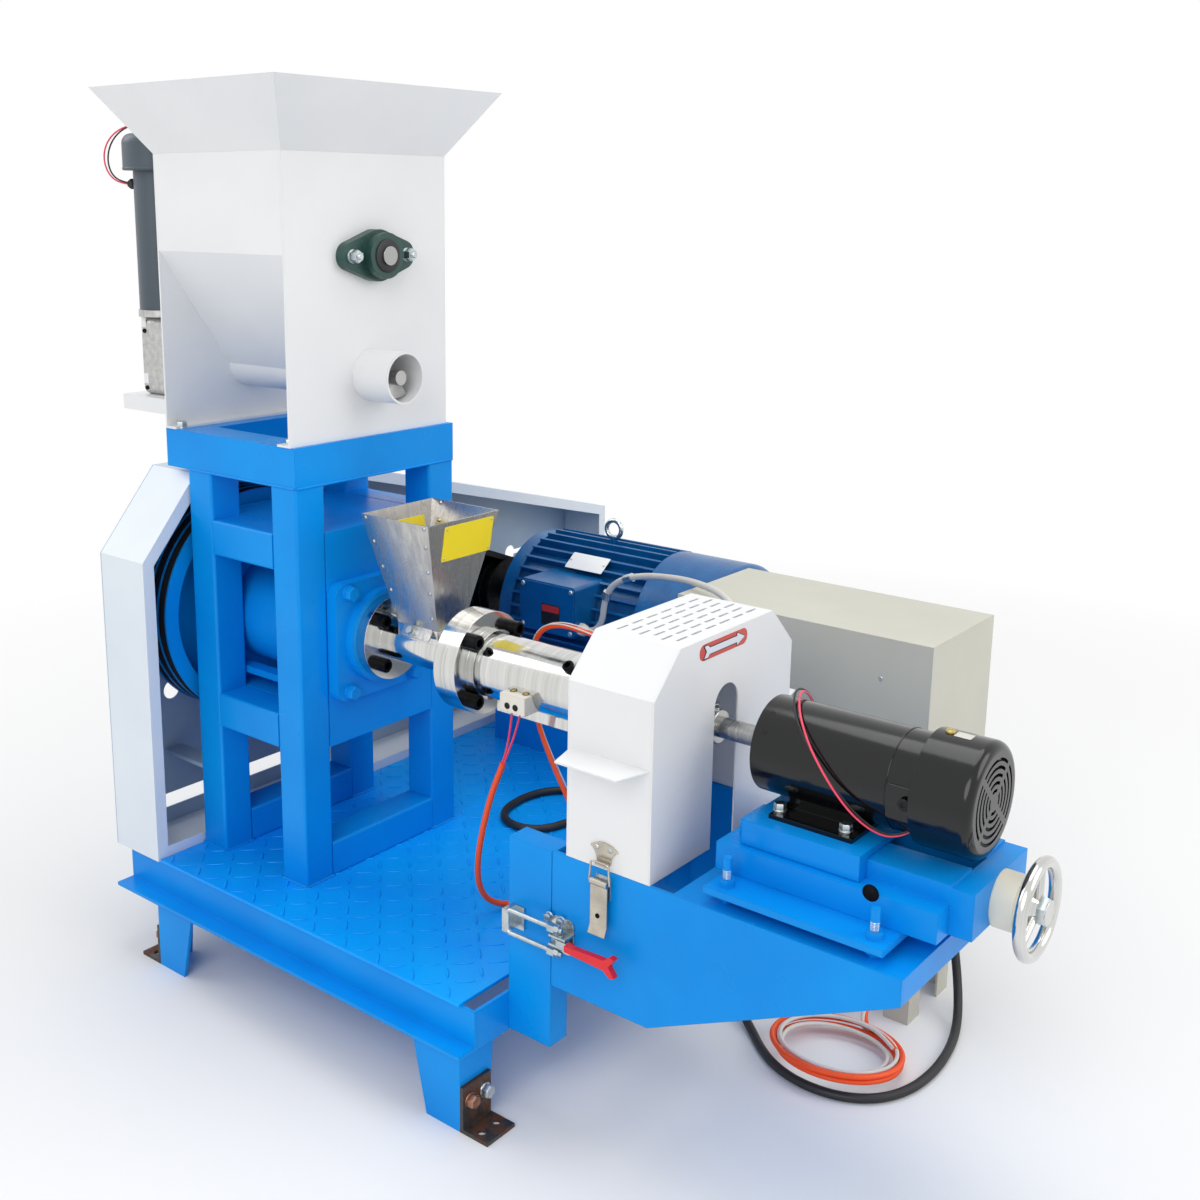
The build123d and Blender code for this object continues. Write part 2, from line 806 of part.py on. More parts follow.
def funnel_section(inset, top):
    """The closed outline of the funnel at one inset."""
    near, far, knee, left, right, trough = funnel_outline(inset)
    lines = [
        Line((0, near, top), (0, near, knee)),
        Line((0, near, knee), (0, left, auger_z)),
        ThreePointArc((0, left, auger_z), (0, auger_y, auger_z - trough), (0, right, auger_z)),
        Line((0, right, auger_z), (0, far, knee)),
        Line((0, far, knee), (0, far, top)),
        Line((0, far, top), (0, near, top)),
    ]
    return make_face(Wire(lines))


def make_bin():
    """Feed bin: end plates, funnel, flared rim, outlet tube, auger, stirrer and bearings."""
    tube_outer = auger_radius + trough_gap + trough_wall
    tube_inner = auger_radius + trough_gap
    plates = []
    stir = stirrer_shaft_radius + shaft_clearance
    for x, inward, hole in (
        (bin_back, 1, auger_shaft_radius + shaft_clearance),
        (bin_front - bin_sheet, -1, tube_inner),
    ):
        plate = block(x, x + bin_sheet, bin_near, bin_far, ring_top, bin_top)
        foot = sorted((x, x + inward * foot_flange))
        plate += block(*foot, bin_near, bin_far, ring_top, ring_top + bin_sheet)
        if inward < 0:
            plate += round_x(tube_outer, bin_front, bin_front + outlet_length, auger_y, auger_z)
        plate -= round_x(hole, bin_back, bin_front + outlet_length, auger_y, auger_z)
        plate -= round_x(stir, x, x + bin_sheet, stirrer_y, ring_top + stirrer_height)
        plates.append(plate)
    add("bin_end_plates", *plates)
    x0 = bin_back + bin_sheet
    x1 = bin_front - bin_sheet
    outer = Pos(x0, 0, 0) * extrude(funnel_section(0, bin_top), x1 - x0, dir=(1, 0, 0))
    inner = Pos(x0, 0, 0) * extrude(funnel_section(bin_sheet, bin_top), x1 - x0, dir=(1, 0, 0))
    add("bin_funnel", outer - inner)

    rim_z = bin_top + flare_height
    middle_x = (bin_back + bin_front) / 2
    middle_y = (bin_near + bin_far) / 2
    length = bin_front - bin_back
    width = bin_far - bin_near
    shells = []
    for inset in (0, bin_sheet):
        low = Plane.XY.offset(bin_top) * Pos(middle_x, middle_y) * Rectangle(length - 2 * inset, width - 2 * inset)
        rim_x = length + 2 * flare_out_x - 2 * inset
        rim_y = width + 2 * flare_out_y - 2 * inset
        high = Plane.XY.offset(rim_z) * Pos(middle_x, middle_y) * Rectangle(rim_x, rim_y)
        shells.append(loft([low, high]))
    add("bin_flare", shells[0] - shells[1])

    shaft_start = bin_back - feeder_distance - gearbox_width / 2
    end = bin_front + outlet_length - auger_end_gap
    shaft = round_x(auger_shaft_radius, shaft_start, end, auger_y, auger_z)
    f0 = bin_back + auger_flight_start
    f1 = end - auger_flight_end
    flight = helical_flight(auger_radius, auger_shaft_radius, auger_flight, auger_pitch, f0, f1, auger_y, auger_z)
    add("feed_auger", shaft + flight)

    stir_z = ring_top + stirrer_height
    reach = bearing_thickness + bearing_boss_length / 2 + stirrer_end_gap
    stir = round_x(stirrer_shaft_radius, bin_back - reach, bin_front + reach, stirrer_y, stir_z)
    half = stirrer_rod_length / 2
    for n in range(stirrer_rod_count):
        x = bin_back + (n + 1) * length / (stirrer_rod_count + 1)
        if n % 2:
            stir += round_z(stirrer_rod_radius, stir_z - half, stir_z + half, x, stirrer_y)
        else:
            stir += round_y(stirrer_rod_radius, stirrer_y - half, stirrer_y + half, x, stir_z)
    add("stirrer", stir)
    add("stirrer_bearings", flange_bearing(bin_front, 1, stir_z), flange_bearing(bin_back, -1, stir_z))


def flange_bearing(x, out, z):
    """An oval two-bolt flange bearing on a plate face."""
    x0, x1 = sorted((x, x + out * bearing_thickness))
    b0, b1 = sorted((x, x + out * (bearing_thickness + bearing_boss_length / 2)))
    reach = bearing_length / 2 - bearing_end_radius
    hull = make_hull(
        (
            Pos(-reach, 0) * Circle(bearing_end_radius)
            + Circle(bearing_height / 2)
            + Pos(reach, 0) * Circle(bearing_end_radius)
        ).edges()
    )
    body = extrude(Plane.YZ.offset(x0) * Pos(stirrer_y, z) * hull, x1 - x0)
    body += round_x(bearing_boss_radius, b0, b1, stirrer_y, z)
    body -= round_x(stirrer_shaft_radius + bearing_seat, b0, b1, stirrer_y, z)
    for side in (-1, 1):
        y = stirrer_y + side * bearing_bolt_spacing / 2
        body -= round_x(bearing_bolt_hole / 2, x0, x1, y, z)
    return body


def make_feeder():
    """Shelf, worm gearbox and upright motor that turn the auger."""
    shelf_top = auger_z - shelf_drop
    x0 = bin_back - shelf_depth
    y0 = auger_y + shelf_beyond_auger - shelf_width
    y1 = y0 + shelf_width
    shelf = block(x0, bin_back, y0, y1, shelf_top - shelf_plate, shelf_top)
    shelf += block(x0, bin_back, y0, y0 + shelf_plate, shelf_top - shelf_lip, shelf_top)
    shelf += block(x0, bin_back, y1 - shelf_plate, y1, shelf_top - shelf_lip, shelf_top)
    add("feeder_shelf", shelf)
    cx = bin_back - feeder_distance
    cy = auger_y - feeder_offset
    g0 = cx - gearbox_width / 2
    g1 = cx + gearbox_width / 2
    m0 = shelf_top + gearbox_height
    collar = m0 - gearbox_collar
    case = block(g0, g1, cy - gearbox_worm_side, auger_y + gearbox_wheel_side, shelf_top, collar)
    case = fillet(case.edges().filter_by(Axis.X), gearbox_corner)
    case += round_z(feeder_radius + gearbox_collar_lip, collar, m0, cx, cy)
    case -= round_x(auger_shaft_radius + shaft_clearance, g0, g1, auger_y, auger_z)
    add("feeder_gearbox", case)
    m1 = m0 + feeder_length
    cap = round_z(feeder_cap_radius, m1, m1 + feeder_cap, cx, cy)
    cap = fillet(cap.edges().group_by(Axis.Z)[-1], feeder_cap_corner)
    add("feeder_motor", round_z(feeder_radius, m0, m1, cx, cy) + cap)


def grooved_pulley(radius, y, z, bore, hub_radius, dished):
    """A pulley with one V groove for each belt, its web thinner than its rim."""
    x0 = pulley_back
    x1 = pulley_back + pulley_width
    body = round_x(radius, x0, x1, y, z)
    depth = belt_sink + belt_thickness + groove_floor_gap
    for n in range(belt_count):
        middle = (x0 + x1) / 2 + (n - (belt_count - 1) / 2) * belt_spacing
        top = belt_width / 2 + groove_side_gap + groove_flare
        low = belt_width / 2 + groove_side_gap
        section = make_face(
            Polyline(
                (middle - top, radius + 1),
                (middle + top, radius + 1),
                (middle + low, radius - depth),
                (middle - low, radius - depth),
                close=True,
            )
        )
        body -= Pos(0, y, z) * Rot(90, 0, 0) * revolve(section, Axis.X)
    if dished:
        inner = radius - pulley_rim
        recess = (pulley_width - pulley_web) / 2
        for a, b in ((x0, x0 + recess), (x1 - recess, x1)):
            body -= ring_x(inner, hub_radius, a, b, y, z)
    return body - round_x(bore, x0, x1, y, z)


def belt_loop(grow):
    """The face inside a belt's path round both pulleys, at a distance from the rims."""
    big = Pos(axis_y, axis_z) * Circle(main_pulley_radius - belt_sink - grow)
    small = Pos(motor_y, motor_z) * Circle(motor_pulley_radius - belt_sink - grow)
    return make_hull((big + small).edges())


def make_drive():
    """Pulleys, belts, belt guard and its brackets."""
    add("main_pulley", grooved_pulley(main_pulley_radius, axis_y, axis_z, shaft_radius, pulley_hub_radius, True))
    small = grooved_pulley(motor_pulley_radius, motor_y, motor_z, motor_shaft_radius, 0, False)
    end = motor_front_face - shaft_clearance
    add("motor_pulley", small + round_x(motor_shaft_radius, pulley_back, end, motor_y, motor_z))
    belts = []
    for n in range(belt_count):
        middle = pulley_back + pulley_width / 2 + (n - (belt_count - 1) / 2) * belt_spacing
        plane = Plane.YZ.offset(middle - belt_width / 2)
        loop = extrude(plane * belt_loop(0), belt_width) - extrude(plane * belt_loop(belt_thickness), belt_width)
        belts.append(loop)
    add("v_belts", *belts)

    low = deck_top + guard_bottom
    outline = [
        (guard_near, low),
        (guard_near, deck_top + guard_shoulder),
        (guard_near + guard_chamfer, deck_top + guard_top),
        (guard_slope_start, deck_top + guard_top),
        (guard_far, deck_top + guard_end_top),
        (guard_far, low),
    ]
    face = Plane.YZ.offset(guard_back) * make_face(Polyline(*outline, close=True))
    inner_face = Plane.YZ.offset(guard_back) * offset(
        make_face(Polyline(*outline, close=True)), -guard_sheet, kind=Kind.INTERSECTION
    )
    mouth = Plane.YZ.offset(guard_back) * offset(
        make_face(Polyline(*outline, close=True)), -guard_lip, kind=Kind.INTERSECTION
    )
    back = extrude(face, guard_sheet)
    gap = low + guard_gap_bottom
    back -= block(
        guard_back,
        guard_back + guard_sheet,
        guard_near + guard_gap_margin,
        guard_far - guard_gap_margin,
        gap,
        gap + guard_gap_height,
    )
    for y, z in ((near_keyhole_y, near_keyhole_height), (far_keyhole_y, far_keyhole_height)):
        back -= round_x(keyhole_radius, guard_back, guard_back + guard_sheet, y, deck_top + z)
        back -= block(
            guard_back,
            guard_back + guard_sheet,
            y,
            y + keyhole_reach,
            deck_top + z - keyhole_neck / 2,
            deck_top + z + keyhole_neck / 2,
        )
    deep = guard_depth - guard_sheet
    rim = extrude(face, deep) - extrude(inner_face, deep)
    front = extrude(face, guard_sheet) - extrude(mouth, guard_sheet)
    rim = Pos(guard_sheet, 0, 0) * rim + Pos(guard_depth - guard_sheet, 0, 0) * front
    add("belt_guard_rim", rim)
    for y in (tube / 2, tower_width - tube / 2):
        x0 = guard_back + guard_sheet
        half = guard_strap / 2
        top = deck_top + guard_strap_height
        back += block(x0, tower_back, y - half, y + half, top - guard_strap_thickness, top)
    add("belt_guard_back", back)


def make_motor():
    """Main motor with finned frame, feet, cowl and terminal box on a folded stand."""
    low = deck_top
    top = deck_top + stand_height
    channel = [
        (stand_near, low),
        (stand_near, top),
        (stand_far, top),
        (stand_far, low),
        (stand_far - stand_wall, low),
        (stand_far - stand_wall, top - stand_wall),
        (stand_near + stand_wall, top - stand_wall),
        (stand_near + stand_wall, low),
    ]
    add("motor_stand", profile_x(channel, stand_back, stand_front))
    x0 = motor_front_face + motor_shield
    x1 = x0 + motor_frame_length
    section = Circle(motor_core_radius)
    fin_start = motor_core_radius - motor_fin_root
    fin = Rectangle(motor_fin_radius - fin_start, motor_fin_thickness)
    for n in range(motor_fin_count):
        section += Rot(0, 0, 360 * n / motor_fin_count) * Pos((fin_start + motor_fin_radius) / 2, 0) * fin
    motor = extrude(Plane.YZ.offset(x0) * Pos(motor_y, motor_z) * section, x1 - x0)
    f0 = x0 + motor_foot_start
    f1 = x1 - motor_foot_end
    half = motor_foot_span / 2
    motor += block(f0, f1, motor_y - half, motor_y + half, top, top + motor_foot_thickness)
    half -= motor_web_narrowing
    web_top = motor_z - motor_web_below_axis
    motor += block(f0 + motor_web_inset, f1 - motor_web_inset, motor_y - half, motor_y + half, top, web_top)
    ex = motor_front_face + eye_from_front
    ez = motor_z + motor_fin_radius
    motor += round_z(eye_shank_radius, motor_z, ez + 2 * eye_wire_radius, ex, motor_y)
    ring_z = ez + eye_ring_radius + eye_wire_radius
    motor += Pos(ex, motor_y, ring_z) * Rot(90, 0, 0) * Torus(eye_ring_radius, eye_wire_radius)
    motor += round_x(motor_fin_radius - motor_lip, motor_front_face + motor_lip, x0, motor_y, motor_z)
    motor += round_x(motor_boss_radius, motor_front_face, motor_front_face + motor_lip, motor_y, motor_z)
    cowl = round_x(motor_cowl_radius, x1, x1 + motor_cowl_length, motor_y, motor_z)
    motor += fillet(cowl.edges().group_by(Axis.X)[-1], motor_cowl_corner)
    bx = motor_front_face + terminal_box_from_front
    y1 = motor_y - motor_core_radius + terminal_box_depth / 2
    y0 = motor_y - motor_fin_radius - terminal_box_depth + terminal_box_sunk
    z0 = motor_z + terminal_box_rise
    case = block(bx, bx + terminal_box_length, y0, y1, z0, z0 + terminal_box_height)
    case = fillet(case.edges().filter_by(Axis.Y), terminal_box_corner)
    add("motor_frame", motor + case)


def make_discharge():
    """Posts on the base, hinge, and the chute that swings with its table."""
    x0 = base_front
    x1 = base_front + post_depth
    z0 = deck_top + post_bottom
    z1 = deck_top + post_top
    near = block(x0, x1, unit_near, unit_near + post_width, z0, z1)
    far = block(x0, x1, unit_far - post_width, unit_far, z0, z1)
    hx = base_front + post_depth + seam / 2
    hy = unit_far + hinge_offset
    swinging = []
    for height in (hinge_low, hinge_high):
        z = deck_top + height
        leaf_y = unit_far + hinge_leaf
        inner_x = hinge_leaf_gap
        neck_x = hinge_leaf_gap + hinge_neck
        below = z - hinge_knuckle
        low = round_z(hinge_radius, below, z - hinge_play, hx, hy)
        low += block(hx - hinge_leaf_width, hx - inner_x, unit_far, leaf_y, below, z - hinge_play)
        low += block(hx - neck_x, hx - inner_x, unit_far, hy, below, z - hinge_play)
        far += low - round_z(hinge_pin_radius + hinge_play, below, z, hx, hy)
        high = round_z(hinge_radius, z, z + hinge_knuckle, hx, hy)
        high += block(hx + inner_x, hx + hinge_leaf_width, unit_far, leaf_y, z, z + hinge_knuckle)
        high += block(hx + inner_x, hx + neck_x, unit_far, hy, z, z + hinge_knuckle)
        high += round_z(hinge_pin_radius, below, z, hx, hy)
        swinging.append(high)
    add("discharge_posts", near, far)

    u0 = unit_back
    knee = u0 + chute_floor_length
    end = u0 + chute_length
    low = deck_top + chute_bottom
    tail = deck_top + chute_tail_bottom
    side = [(u0, low), (knee, low), (end, tail), (end, unit_top), (u0, unit_top)]
    far_side = profile_y(side, unit_far - chute_wall, unit_far)
    for leaf in swinging:
        far_side += leaf
    add("chute_sides", profile_y(side, unit_near, unit_near + chute_wall), far_side)
    inner_near = unit_near + chute_wall
    inner_far = unit_far - chute_wall
    back_plate = block(u0, u0 + chute_wall, inner_near, inner_far, low, unit_top)
    rise = math.hypot(end - knee, tail - low)
    lift = chute_wall * (end - knee) / rise
    slope = [(knee, low), (end - chute_wall, tail), (end - chute_wall, tail + lift), (knee, low + lift)]
    table_z = unit_top - table_thickness
    table = block(u0 + table_start, end, inner_near, inner_far, table_z, unit_top)
    table += block(end - chute_wall, end, inner_near, inner_far, tail, unit_top)
    table += profile_y(slope, inner_near, inner_far)
    add("chute_plates", table, back_plate)


def make_hood():
    """Cutter guard: folded cover with vents, slotted front plate and arched rear plate."""
    z0 = unit_top + hood_seat_gap
    shoulder = deck_top + hood_shoulder
    top = deck_top + hood_top
    outline = [
        (unit_near, z0),
        (unit_near, shoulder),
        (unit_near + hood_chamfer, top),
        (unit_far - hood_chamfer, top),
        (unit_far, shoulder),
        (unit_far, z0),
    ]
    face = make_face(Polyline(*outline, close=True))
    inner = offset(face, -hood_sheet, kind=Kind.INTERSECTION)
    x0 = hood_back
    x1 = hood_back + hood_length
    inside = hood_length - 2 * hood_sheet
    cover = extrude(Plane.YZ.offset(x0 + hood_sheet) * face, inside)
    cover -= extrude(Plane.YZ.offset(x0 + hood_sheet) * inner, inside)
    cover -= block(x0, x1, unit_near + hood_sheet, unit_far - hood_sheet, z0, z0 + hood_sheet)
    middle_x = (x0 + x1) / 2
    middle_y = (unit_near + unit_far) / 2
    for column in range(vent_columns):
        for row in range(vent_rows):
            x = middle_x + (column - (vent_columns - 1) / 2) * vent_step_x
            y = middle_y + (row - (vent_rows - 1) / 2) * vent_step_y + (column % 2) * vent_step_y / 4
            half = vent_length / 2
            wide = vent_width / 2
            cover -= block(x - wide, x + wide, y - half, y + half, top - hood_sheet, top)
    slot_y = axis_y
    slot_radius = hood_slot_width / 2
    front = extrude(Plane.YZ.offset(x1 - hood_sheet) * face, hood_sheet)
    slot_top = deck_top + hood_slot_top - slot_radius
    front -= round_x(slot_radius, x1 - hood_sheet, x1, slot_y, slot_top)
    front -= block(x1 - hood_sheet, x1, slot_y - slot_radius, slot_y + slot_radius, z0, slot_top)
    rear = extrude(Plane.YZ.offset(x0) * face, hood_sheet)
    wide = hood_mouth_width / 2
    rear -= block(x0, x0 + hood_sheet, slot_y - wide, slot_y + wide, z0, deck_top + hood_mouth_top)
    add("hood_end_plates", front, rear)
    flange_z = deck_top + lift_flange_height
    for side in (-1, 1):
        wall = unit_near if side < 0 else unit_far
        tip = wall + side * lift_flange_out
        f0 = x0 + lift_flange_inset
        f1 = x1 - lift_flange_inset
        shape = Polyline(
            (f0, wall, flange_z),
            (f0 + lift_flange_taper, tip, flange_z),
            (f1 - lift_flange_taper, tip, flange_z),
            (f1, wall, flange_z),
            close=True,
        )
        cover += extrude(make_face(shape), hood_sheet, dir=(0, 0, 1))
    add("hood_cover", cover)


def span(wall, side, near, far):
    """The Y range of a piece that stands on a side wall, from its near to its far distance."""
    return sorted((wall + side * near, wall + side * far))


def catch_plate(wall, side):
    """The fan-shaped catch over a latch, with its hook."""
    x = latch_x
    low = deck_top + catch_bottom
    tip = deck_top + catch_tip_height
    top = deck_top + catch_top
    curve_x = (catch_neck_half + catch_tip_half) / 2 - latch_sheet
    curve_z = (low + tip) / 2 + latch_sheet
    outline = [
        Line((x - catch_neck_half, 0, low), (x + catch_neck_half, 0, low)),
        ThreePointArc((x + catch_neck_half, 0, low), (x + curve_x, 0, curve_z), (x + catch_tip_half, 0, tip)),
        ThreePointArc((x + catch_tip_half, 0, tip), (x, 0, top), (x - catch_tip_half, 0, tip)),
        ThreePointArc((x - catch_tip_half, 0, tip), (x - curve_x, 0, curve_z), (x - catch_neck_half, 0, low)),
    ]
    y0, y1 = span(wall, side, 0, latch_sheet)
    plate = Pos(0, y0, 0) * extrude(make_face(Wire(outline)), y1 - y0, dir=(0, 1, 0))
    hook = span(wall, side, 0, catch_hook_reach)
    return plate + block(x - catch_hook_half, x + catch_hook_half, *hook, low - latch_sheet, low)


def wire_bail(wall, side):
    """The wire loop from the latch's roller up to the hook."""
    y = wall + side * bail_out
    low = deck_top + latch_pivot_height
    high = deck_top + bail_head_height
    ends = [(latch_x - bail_foot_half, y, low), (latch_x - bail_head_half, y, high)]
    ends += [(latch_x + bail_head_half, y, high), (latch_x + bail_foot_half, y, low)]
    path = FilletPolyline(*ends, radius=bail_corner)
    return sweep(Plane(path @ 0, z_dir=path % 0) * Circle(bail_wire), path)


def latch_lever(wall, side):
    """The lever, its roller at the top and its tip kicked out."""
    z = deck_top + latch_pivot_height
    low = z - lever_length
    bend = low + lever_bend
    y = wall + side * bail_out
    kick = side * lever_kick
    sheet = side * latch_sheet / 2
    outline = [(y - sheet, z), (y - sheet, bend), (y - sheet + kick, low), (y + sheet + kick, low)]
    outline += [(y + sheet, bend), (y + sheet, z)]
    plate = profile_x(outline, latch_x - roller_half, latch_x + roller_half)
    return plate + round_x(roller_radius, latch_x - roller_half, latch_x + roller_half, y, z)


def latch_base(wall, side):
    """The plate on the chute under the lever, with the boss beneath the roller."""
    z = deck_top + latch_pivot_height
    sheet = span(wall, side, 0, latch_sheet)
    half = latch_base_half
    plate = block(latch_x - half, latch_x + half, *sheet, z - latch_base_drop, z + latch_base_rise)
    boss = span(wall, side, 0, bail_out - roller_radius - latch_play)
    half = latch_boss_half
    return plate + block(latch_x - half, latch_x + half, *boss, z - roller_radius, z + roller_radius)


def make_latches():
    """Draw latches on both sides: catch and bail on the guard, lever and base on the chute."""
    near = unit_near
    far = unit_far
    add("latch_lever_near", latch_lever(near, -1))
    add("latch_lever_far", latch_lever(far, 1))
    catches = []
    for wall, side in ((near, -1), (far, 1)):
        catches += [catch_plate(wall, side), wire_bail(wall, side)]
    add("latch_catches", *catches)
    add("latch_bases", latch_base(near, -1), latch_base(far, 1), clamp_base())


def clamp_base():
    """The toggle clamp's plate on the chute, with two cheeks that hold the lever's pin."""
    z = deck_top + clamp_height
    wall = unit_near
    x0 = clamp_base_x - clamp_base_half
    x1 = clamp_base_x + clamp_base_half
    base = block(x0, x1, wall - clamp_base_sheet, wall, z - clamp_base_rise, z + clamp_base_rise)
    base = fillet(base.edges().filter_by(Axis.Y), clamp_base_corner)
    for side in (-1, 1):
        cheek_z = sorted((z + side * cheek_inner, z + side * cheek_outer))
        base += block(cheek_start, cheek_end, wall - cheek_out, wall, *cheek_z)
    hole = clamp_pin_radius + latch_play
    return base - round_z(hole, z - cheek_outer, z + cheek_outer, clamp_pivot_x, wall - clamp_pivot_out)


def make_clamp():
    """Toggle clamp: its lever, and the hook on the post with the U rod, eye blocks and nuts."""
    z = deck_top + clamp_height
    wall = unit_near
    y = wall - clamp_pivot_out
    half = clamp_lever_half
    radius = clamp_pin_radius + clamp_lever_half
    lever = round_z(radius, z - half, z + half, clamp_pivot_x, y)
    lever += block(clamp_pivot_x, grip_start + radius, y - radius, y, z - half, z + half)
    lever += round_z(clamp_pin_radius, z - clamp_pin_half, z + clamp_pin_half, clamp_pivot_x, y)
    fork = [
        (grip_start, z - half),
        (grip_fork_start, z - grip_half),
        (grip_end - grip_half, z - grip_fork_half),
        (grip_end, z - grip_fork_half + latch_sheet),
        (grip_end - grip_thickness, z),
        (grip_end, z + grip_fork_half - latch_sheet),
        (grip_end - grip_half, z + grip_fork_half),
        (grip_fork_start, z + grip_half),
        (grip_start, z + half),
    ]
    lever += profile_y(fork, y - radius - grip_thickness / 2, y - radius + grip_thickness / 2)
    add("clamp_lever", lever)

    x = hook_bracket_x
    half = hook_bracket_half
    rod_y = wall - rod_out
    hook = block(x - half, x + half, wall - hook_bracket_sheet, wall, z - rod_offset, z + rod_offset)
    hook += block(x - half, x - rod_radius, rod_y - rod_radius, wall, z - rod_offset, z + rod_offset)
    ends = [(rod_end, rod_y, z - rod_offset), (rod_start, rod_y, z - rod_offset)]
    ends += [(rod_start, rod_y, z + rod_offset), (rod_end, rod_y, z + rod_offset)]
    path = FilletPolyline(*ends, radius=2 * rod_radius)
    hook += sweep(Plane(path @ 0, z_dir=path % 0) * Circle(rod_radius), path)
    block_end = rod_block_x + rod_block_length
    for side in (-1, 1):
        middle = z + side * rod_offset
        y0 = rod_y - rod_block_half
        y1 = rod_y + rod_block_half
        hook += block(rod_block_x, block_end, y0, y1, middle - rod_block_half, middle + rod_block_half)
        nut = Plane.YZ.offset(block_end) * Pos(rod_y, middle) * RegularPolygon(rod_nut_radius, 6)
        hook += extrude(nut, rod_nut_length)
    add("clamp_hook", hook)


def make_slide():
    """Mounting plate on four studs, slide with bed, carriage, end block, bush and handwheel."""
    x0 = slide_plate_back
    x1 = x0 + slide_plate_length
    y0 = unit_near + slide_plate_inset
    y1 = unit_far - slide_plate_inset
    plate = block(x0, x1, y0, y1, slide_z - slide_plate_thickness, slide_z)
    for x in (x0 + stud_inset, x1 - stud_inset):
        for y in (y0 + stud_inset, y1 - stud_inset):
            plate += round_z(stud_radius, unit_top, unit_top + stud_height, x, y)
            for z in (slide_z - slide_plate_thickness - nut_height, slide_z):
                plate += extrude(Plane.XY.offset(z) * Pos(x, y) * RegularPolygon(nut_radius, 6), nut_height)
    add("slide_mounting_plate", plate)

    half = slide_width / 2
    slot = screw_slot_width / 2
    base = block(slide_back, slide_front, axis_y - half, axis_y + half, slide_z, bed_z)
    channel_floor = slide_z + slide_channel_floor
    screw_bore = lead_screw_radius + screw_play
    inside = slide_back + slide_end_wall
    base -= block(inside, slide_front, axis_y - slot, axis_y + slot, channel_floor, bed_z)
    base -= round_x(screw_bore, slide_back, inside, axis_y, lead_screw_z)
    bed_half = bed_width / 2
    for side in (-1, 1):
        s0, s1 = sorted((axis_y + side * slot, axis_y + side * bed_half))
        base += block(inside, slide_front, s0, s1, bed_z, bed_z + bed_height)
    b0 = slide_front + end_block_thickness
    end_top = slide_z + end_block_height
    end = block(slide_front, b0, axis_y - bed_half, axis_y + bed_half, slide_z, end_top)
    end -= round_x(screw_bore, slide_front, b0, axis_y, lead_screw_z)
    add("slide_base", base + end)
    add("bush", ring_x(bush_radius, screw_bore, b0, b0 + bush_length, axis_y, lead_screw_z))

    c0 = carriage_back
    c1 = c0 + carriage_length
    width = carriage_width / 2
    carriage = block(c0, c1, axis_y - width, axis_y + width, bed_z + carriage_gap, carriage_top)
    room = bed_half + carriage_gap
    under_top = bed_z + bed_height + carriage_gap
    carriage -= block(c0, c1, axis_y - room, axis_y + room, bed_z, under_top)
    n0 = c0 + (carriage_length - nut_block_length) / 2
    n1 = n0 + nut_block_length
    half = nut_block_half
    nut = block(n0, n1, axis_y - half, axis_y + half, lead_screw_z - half, under_top)
    nut -= round_x(screw_bore, n0, n1, axis_y, lead_screw_z)
    add("carriage", carriage + nut)

    w0 = b0 + bush_length + wheel_gap
    w1 = w0 + handwheel_hub_length
    middle = (w0 + w1) / 2
    wheel = round_x(handwheel_hub_radius, w0, w1, axis_y, lead_screw_z)
    wheel += round_x(lead_screw_radius, slide_back + screw_tip_gap, w0, axis_y, lead_screw_z)
    torus = Torus(handwheel_radius, handwheel_rim_radius)
    wheel += Pos(middle, axis_y, lead_screw_z) * Rot(0, 90, 0) * torus
    for n in range(spoke_count):
        turn = 90 + 360 * n / spoke_count
        spoke = Pos(0, handwheel_radius / 2, 0) * Rot(90, 0, 0) * Cylinder(spoke_radius, handwheel_radius)
        wheel += Pos(middle, axis_y, lead_screw_z) * Rot(turn, 0, 0) * spoke
    add("handwheel", wheel)


def cowl_grille(x):
    """The ring slots in a cowl's end, broken by spokes."""
    slots = []
    for n in range(grille_rings):
        radius = grille_first + n * grille_step
        outer = radius + grille_slot / 2
        slots.append(ring_x(outer, radius - grille_slot / 2, x - grille_depth, x, axis_y, axis_z))
    grille = slots[0]
    for slot in slots[1:]:
        grille += slot
    spoke = Box(grille_depth, grille_spoke, 2 * cutter_cowl_radius)
    for n in range(grille_spokes):
        turn = 45 + 180 * n / grille_spokes
        grille -= Pos(x - grille_depth / 2, axis_y, axis_z) * Rot(turn, 0, 0) * spoke
    return grille


def make_cutter():
    """Cutter motor on its plate, with cowl, shaft, knife holder and knives."""
    p0 = carriage_back + (carriage_length - motor_plate_length) / 2
    p1 = p0 + motor_plate_length
    half = motor_plate_width / 2
    top = carriage_top + motor_plate_thickness
    motor = block(p0, p1, axis_y - half, axis_y + half, carriage_top, top)
    under = axis_z - cradle_below_axis
    half = cradle_half
    motor += block(p0 + cradle_inset, p1 - cradle_inset, axis_y - half, axis_y + half, top, under)
    m0 = cutter_motor_front
    m1 = m0 + cutter_motor_length
    motor += round_x(cutter_motor_radius, m0, m1, axis_y, axis_z)
    m2 = m1 + cutter_cowl_length
    cowl = round_x(cutter_cowl_radius, m1, m2, axis_y, axis_z)
    cowl = fillet(cowl.edges().group_by(Axis.X)[-1], cutter_cowl_corner)
    add("cutter_motor", motor + (cowl - cowl_grille(m2)))
    k0 = die_end + knife_gap
    k1 = k0 + knife_thickness
    h1 = k1 + knife_holder_length
    rotor = round_x(cutter_shaft_radius, h1, m0 - rotor_play, axis_y, axis_z)
    rotor += round_x(knife_holder_radius, k1, h1, axis_y, axis_z)
    wide = knife_width / 2
    long = knife_length / 2
    add("cutter_rotor", rotor + block(k0, k1, axis_y - wide, axis_y + wide, axis_z - long, axis_z + long))


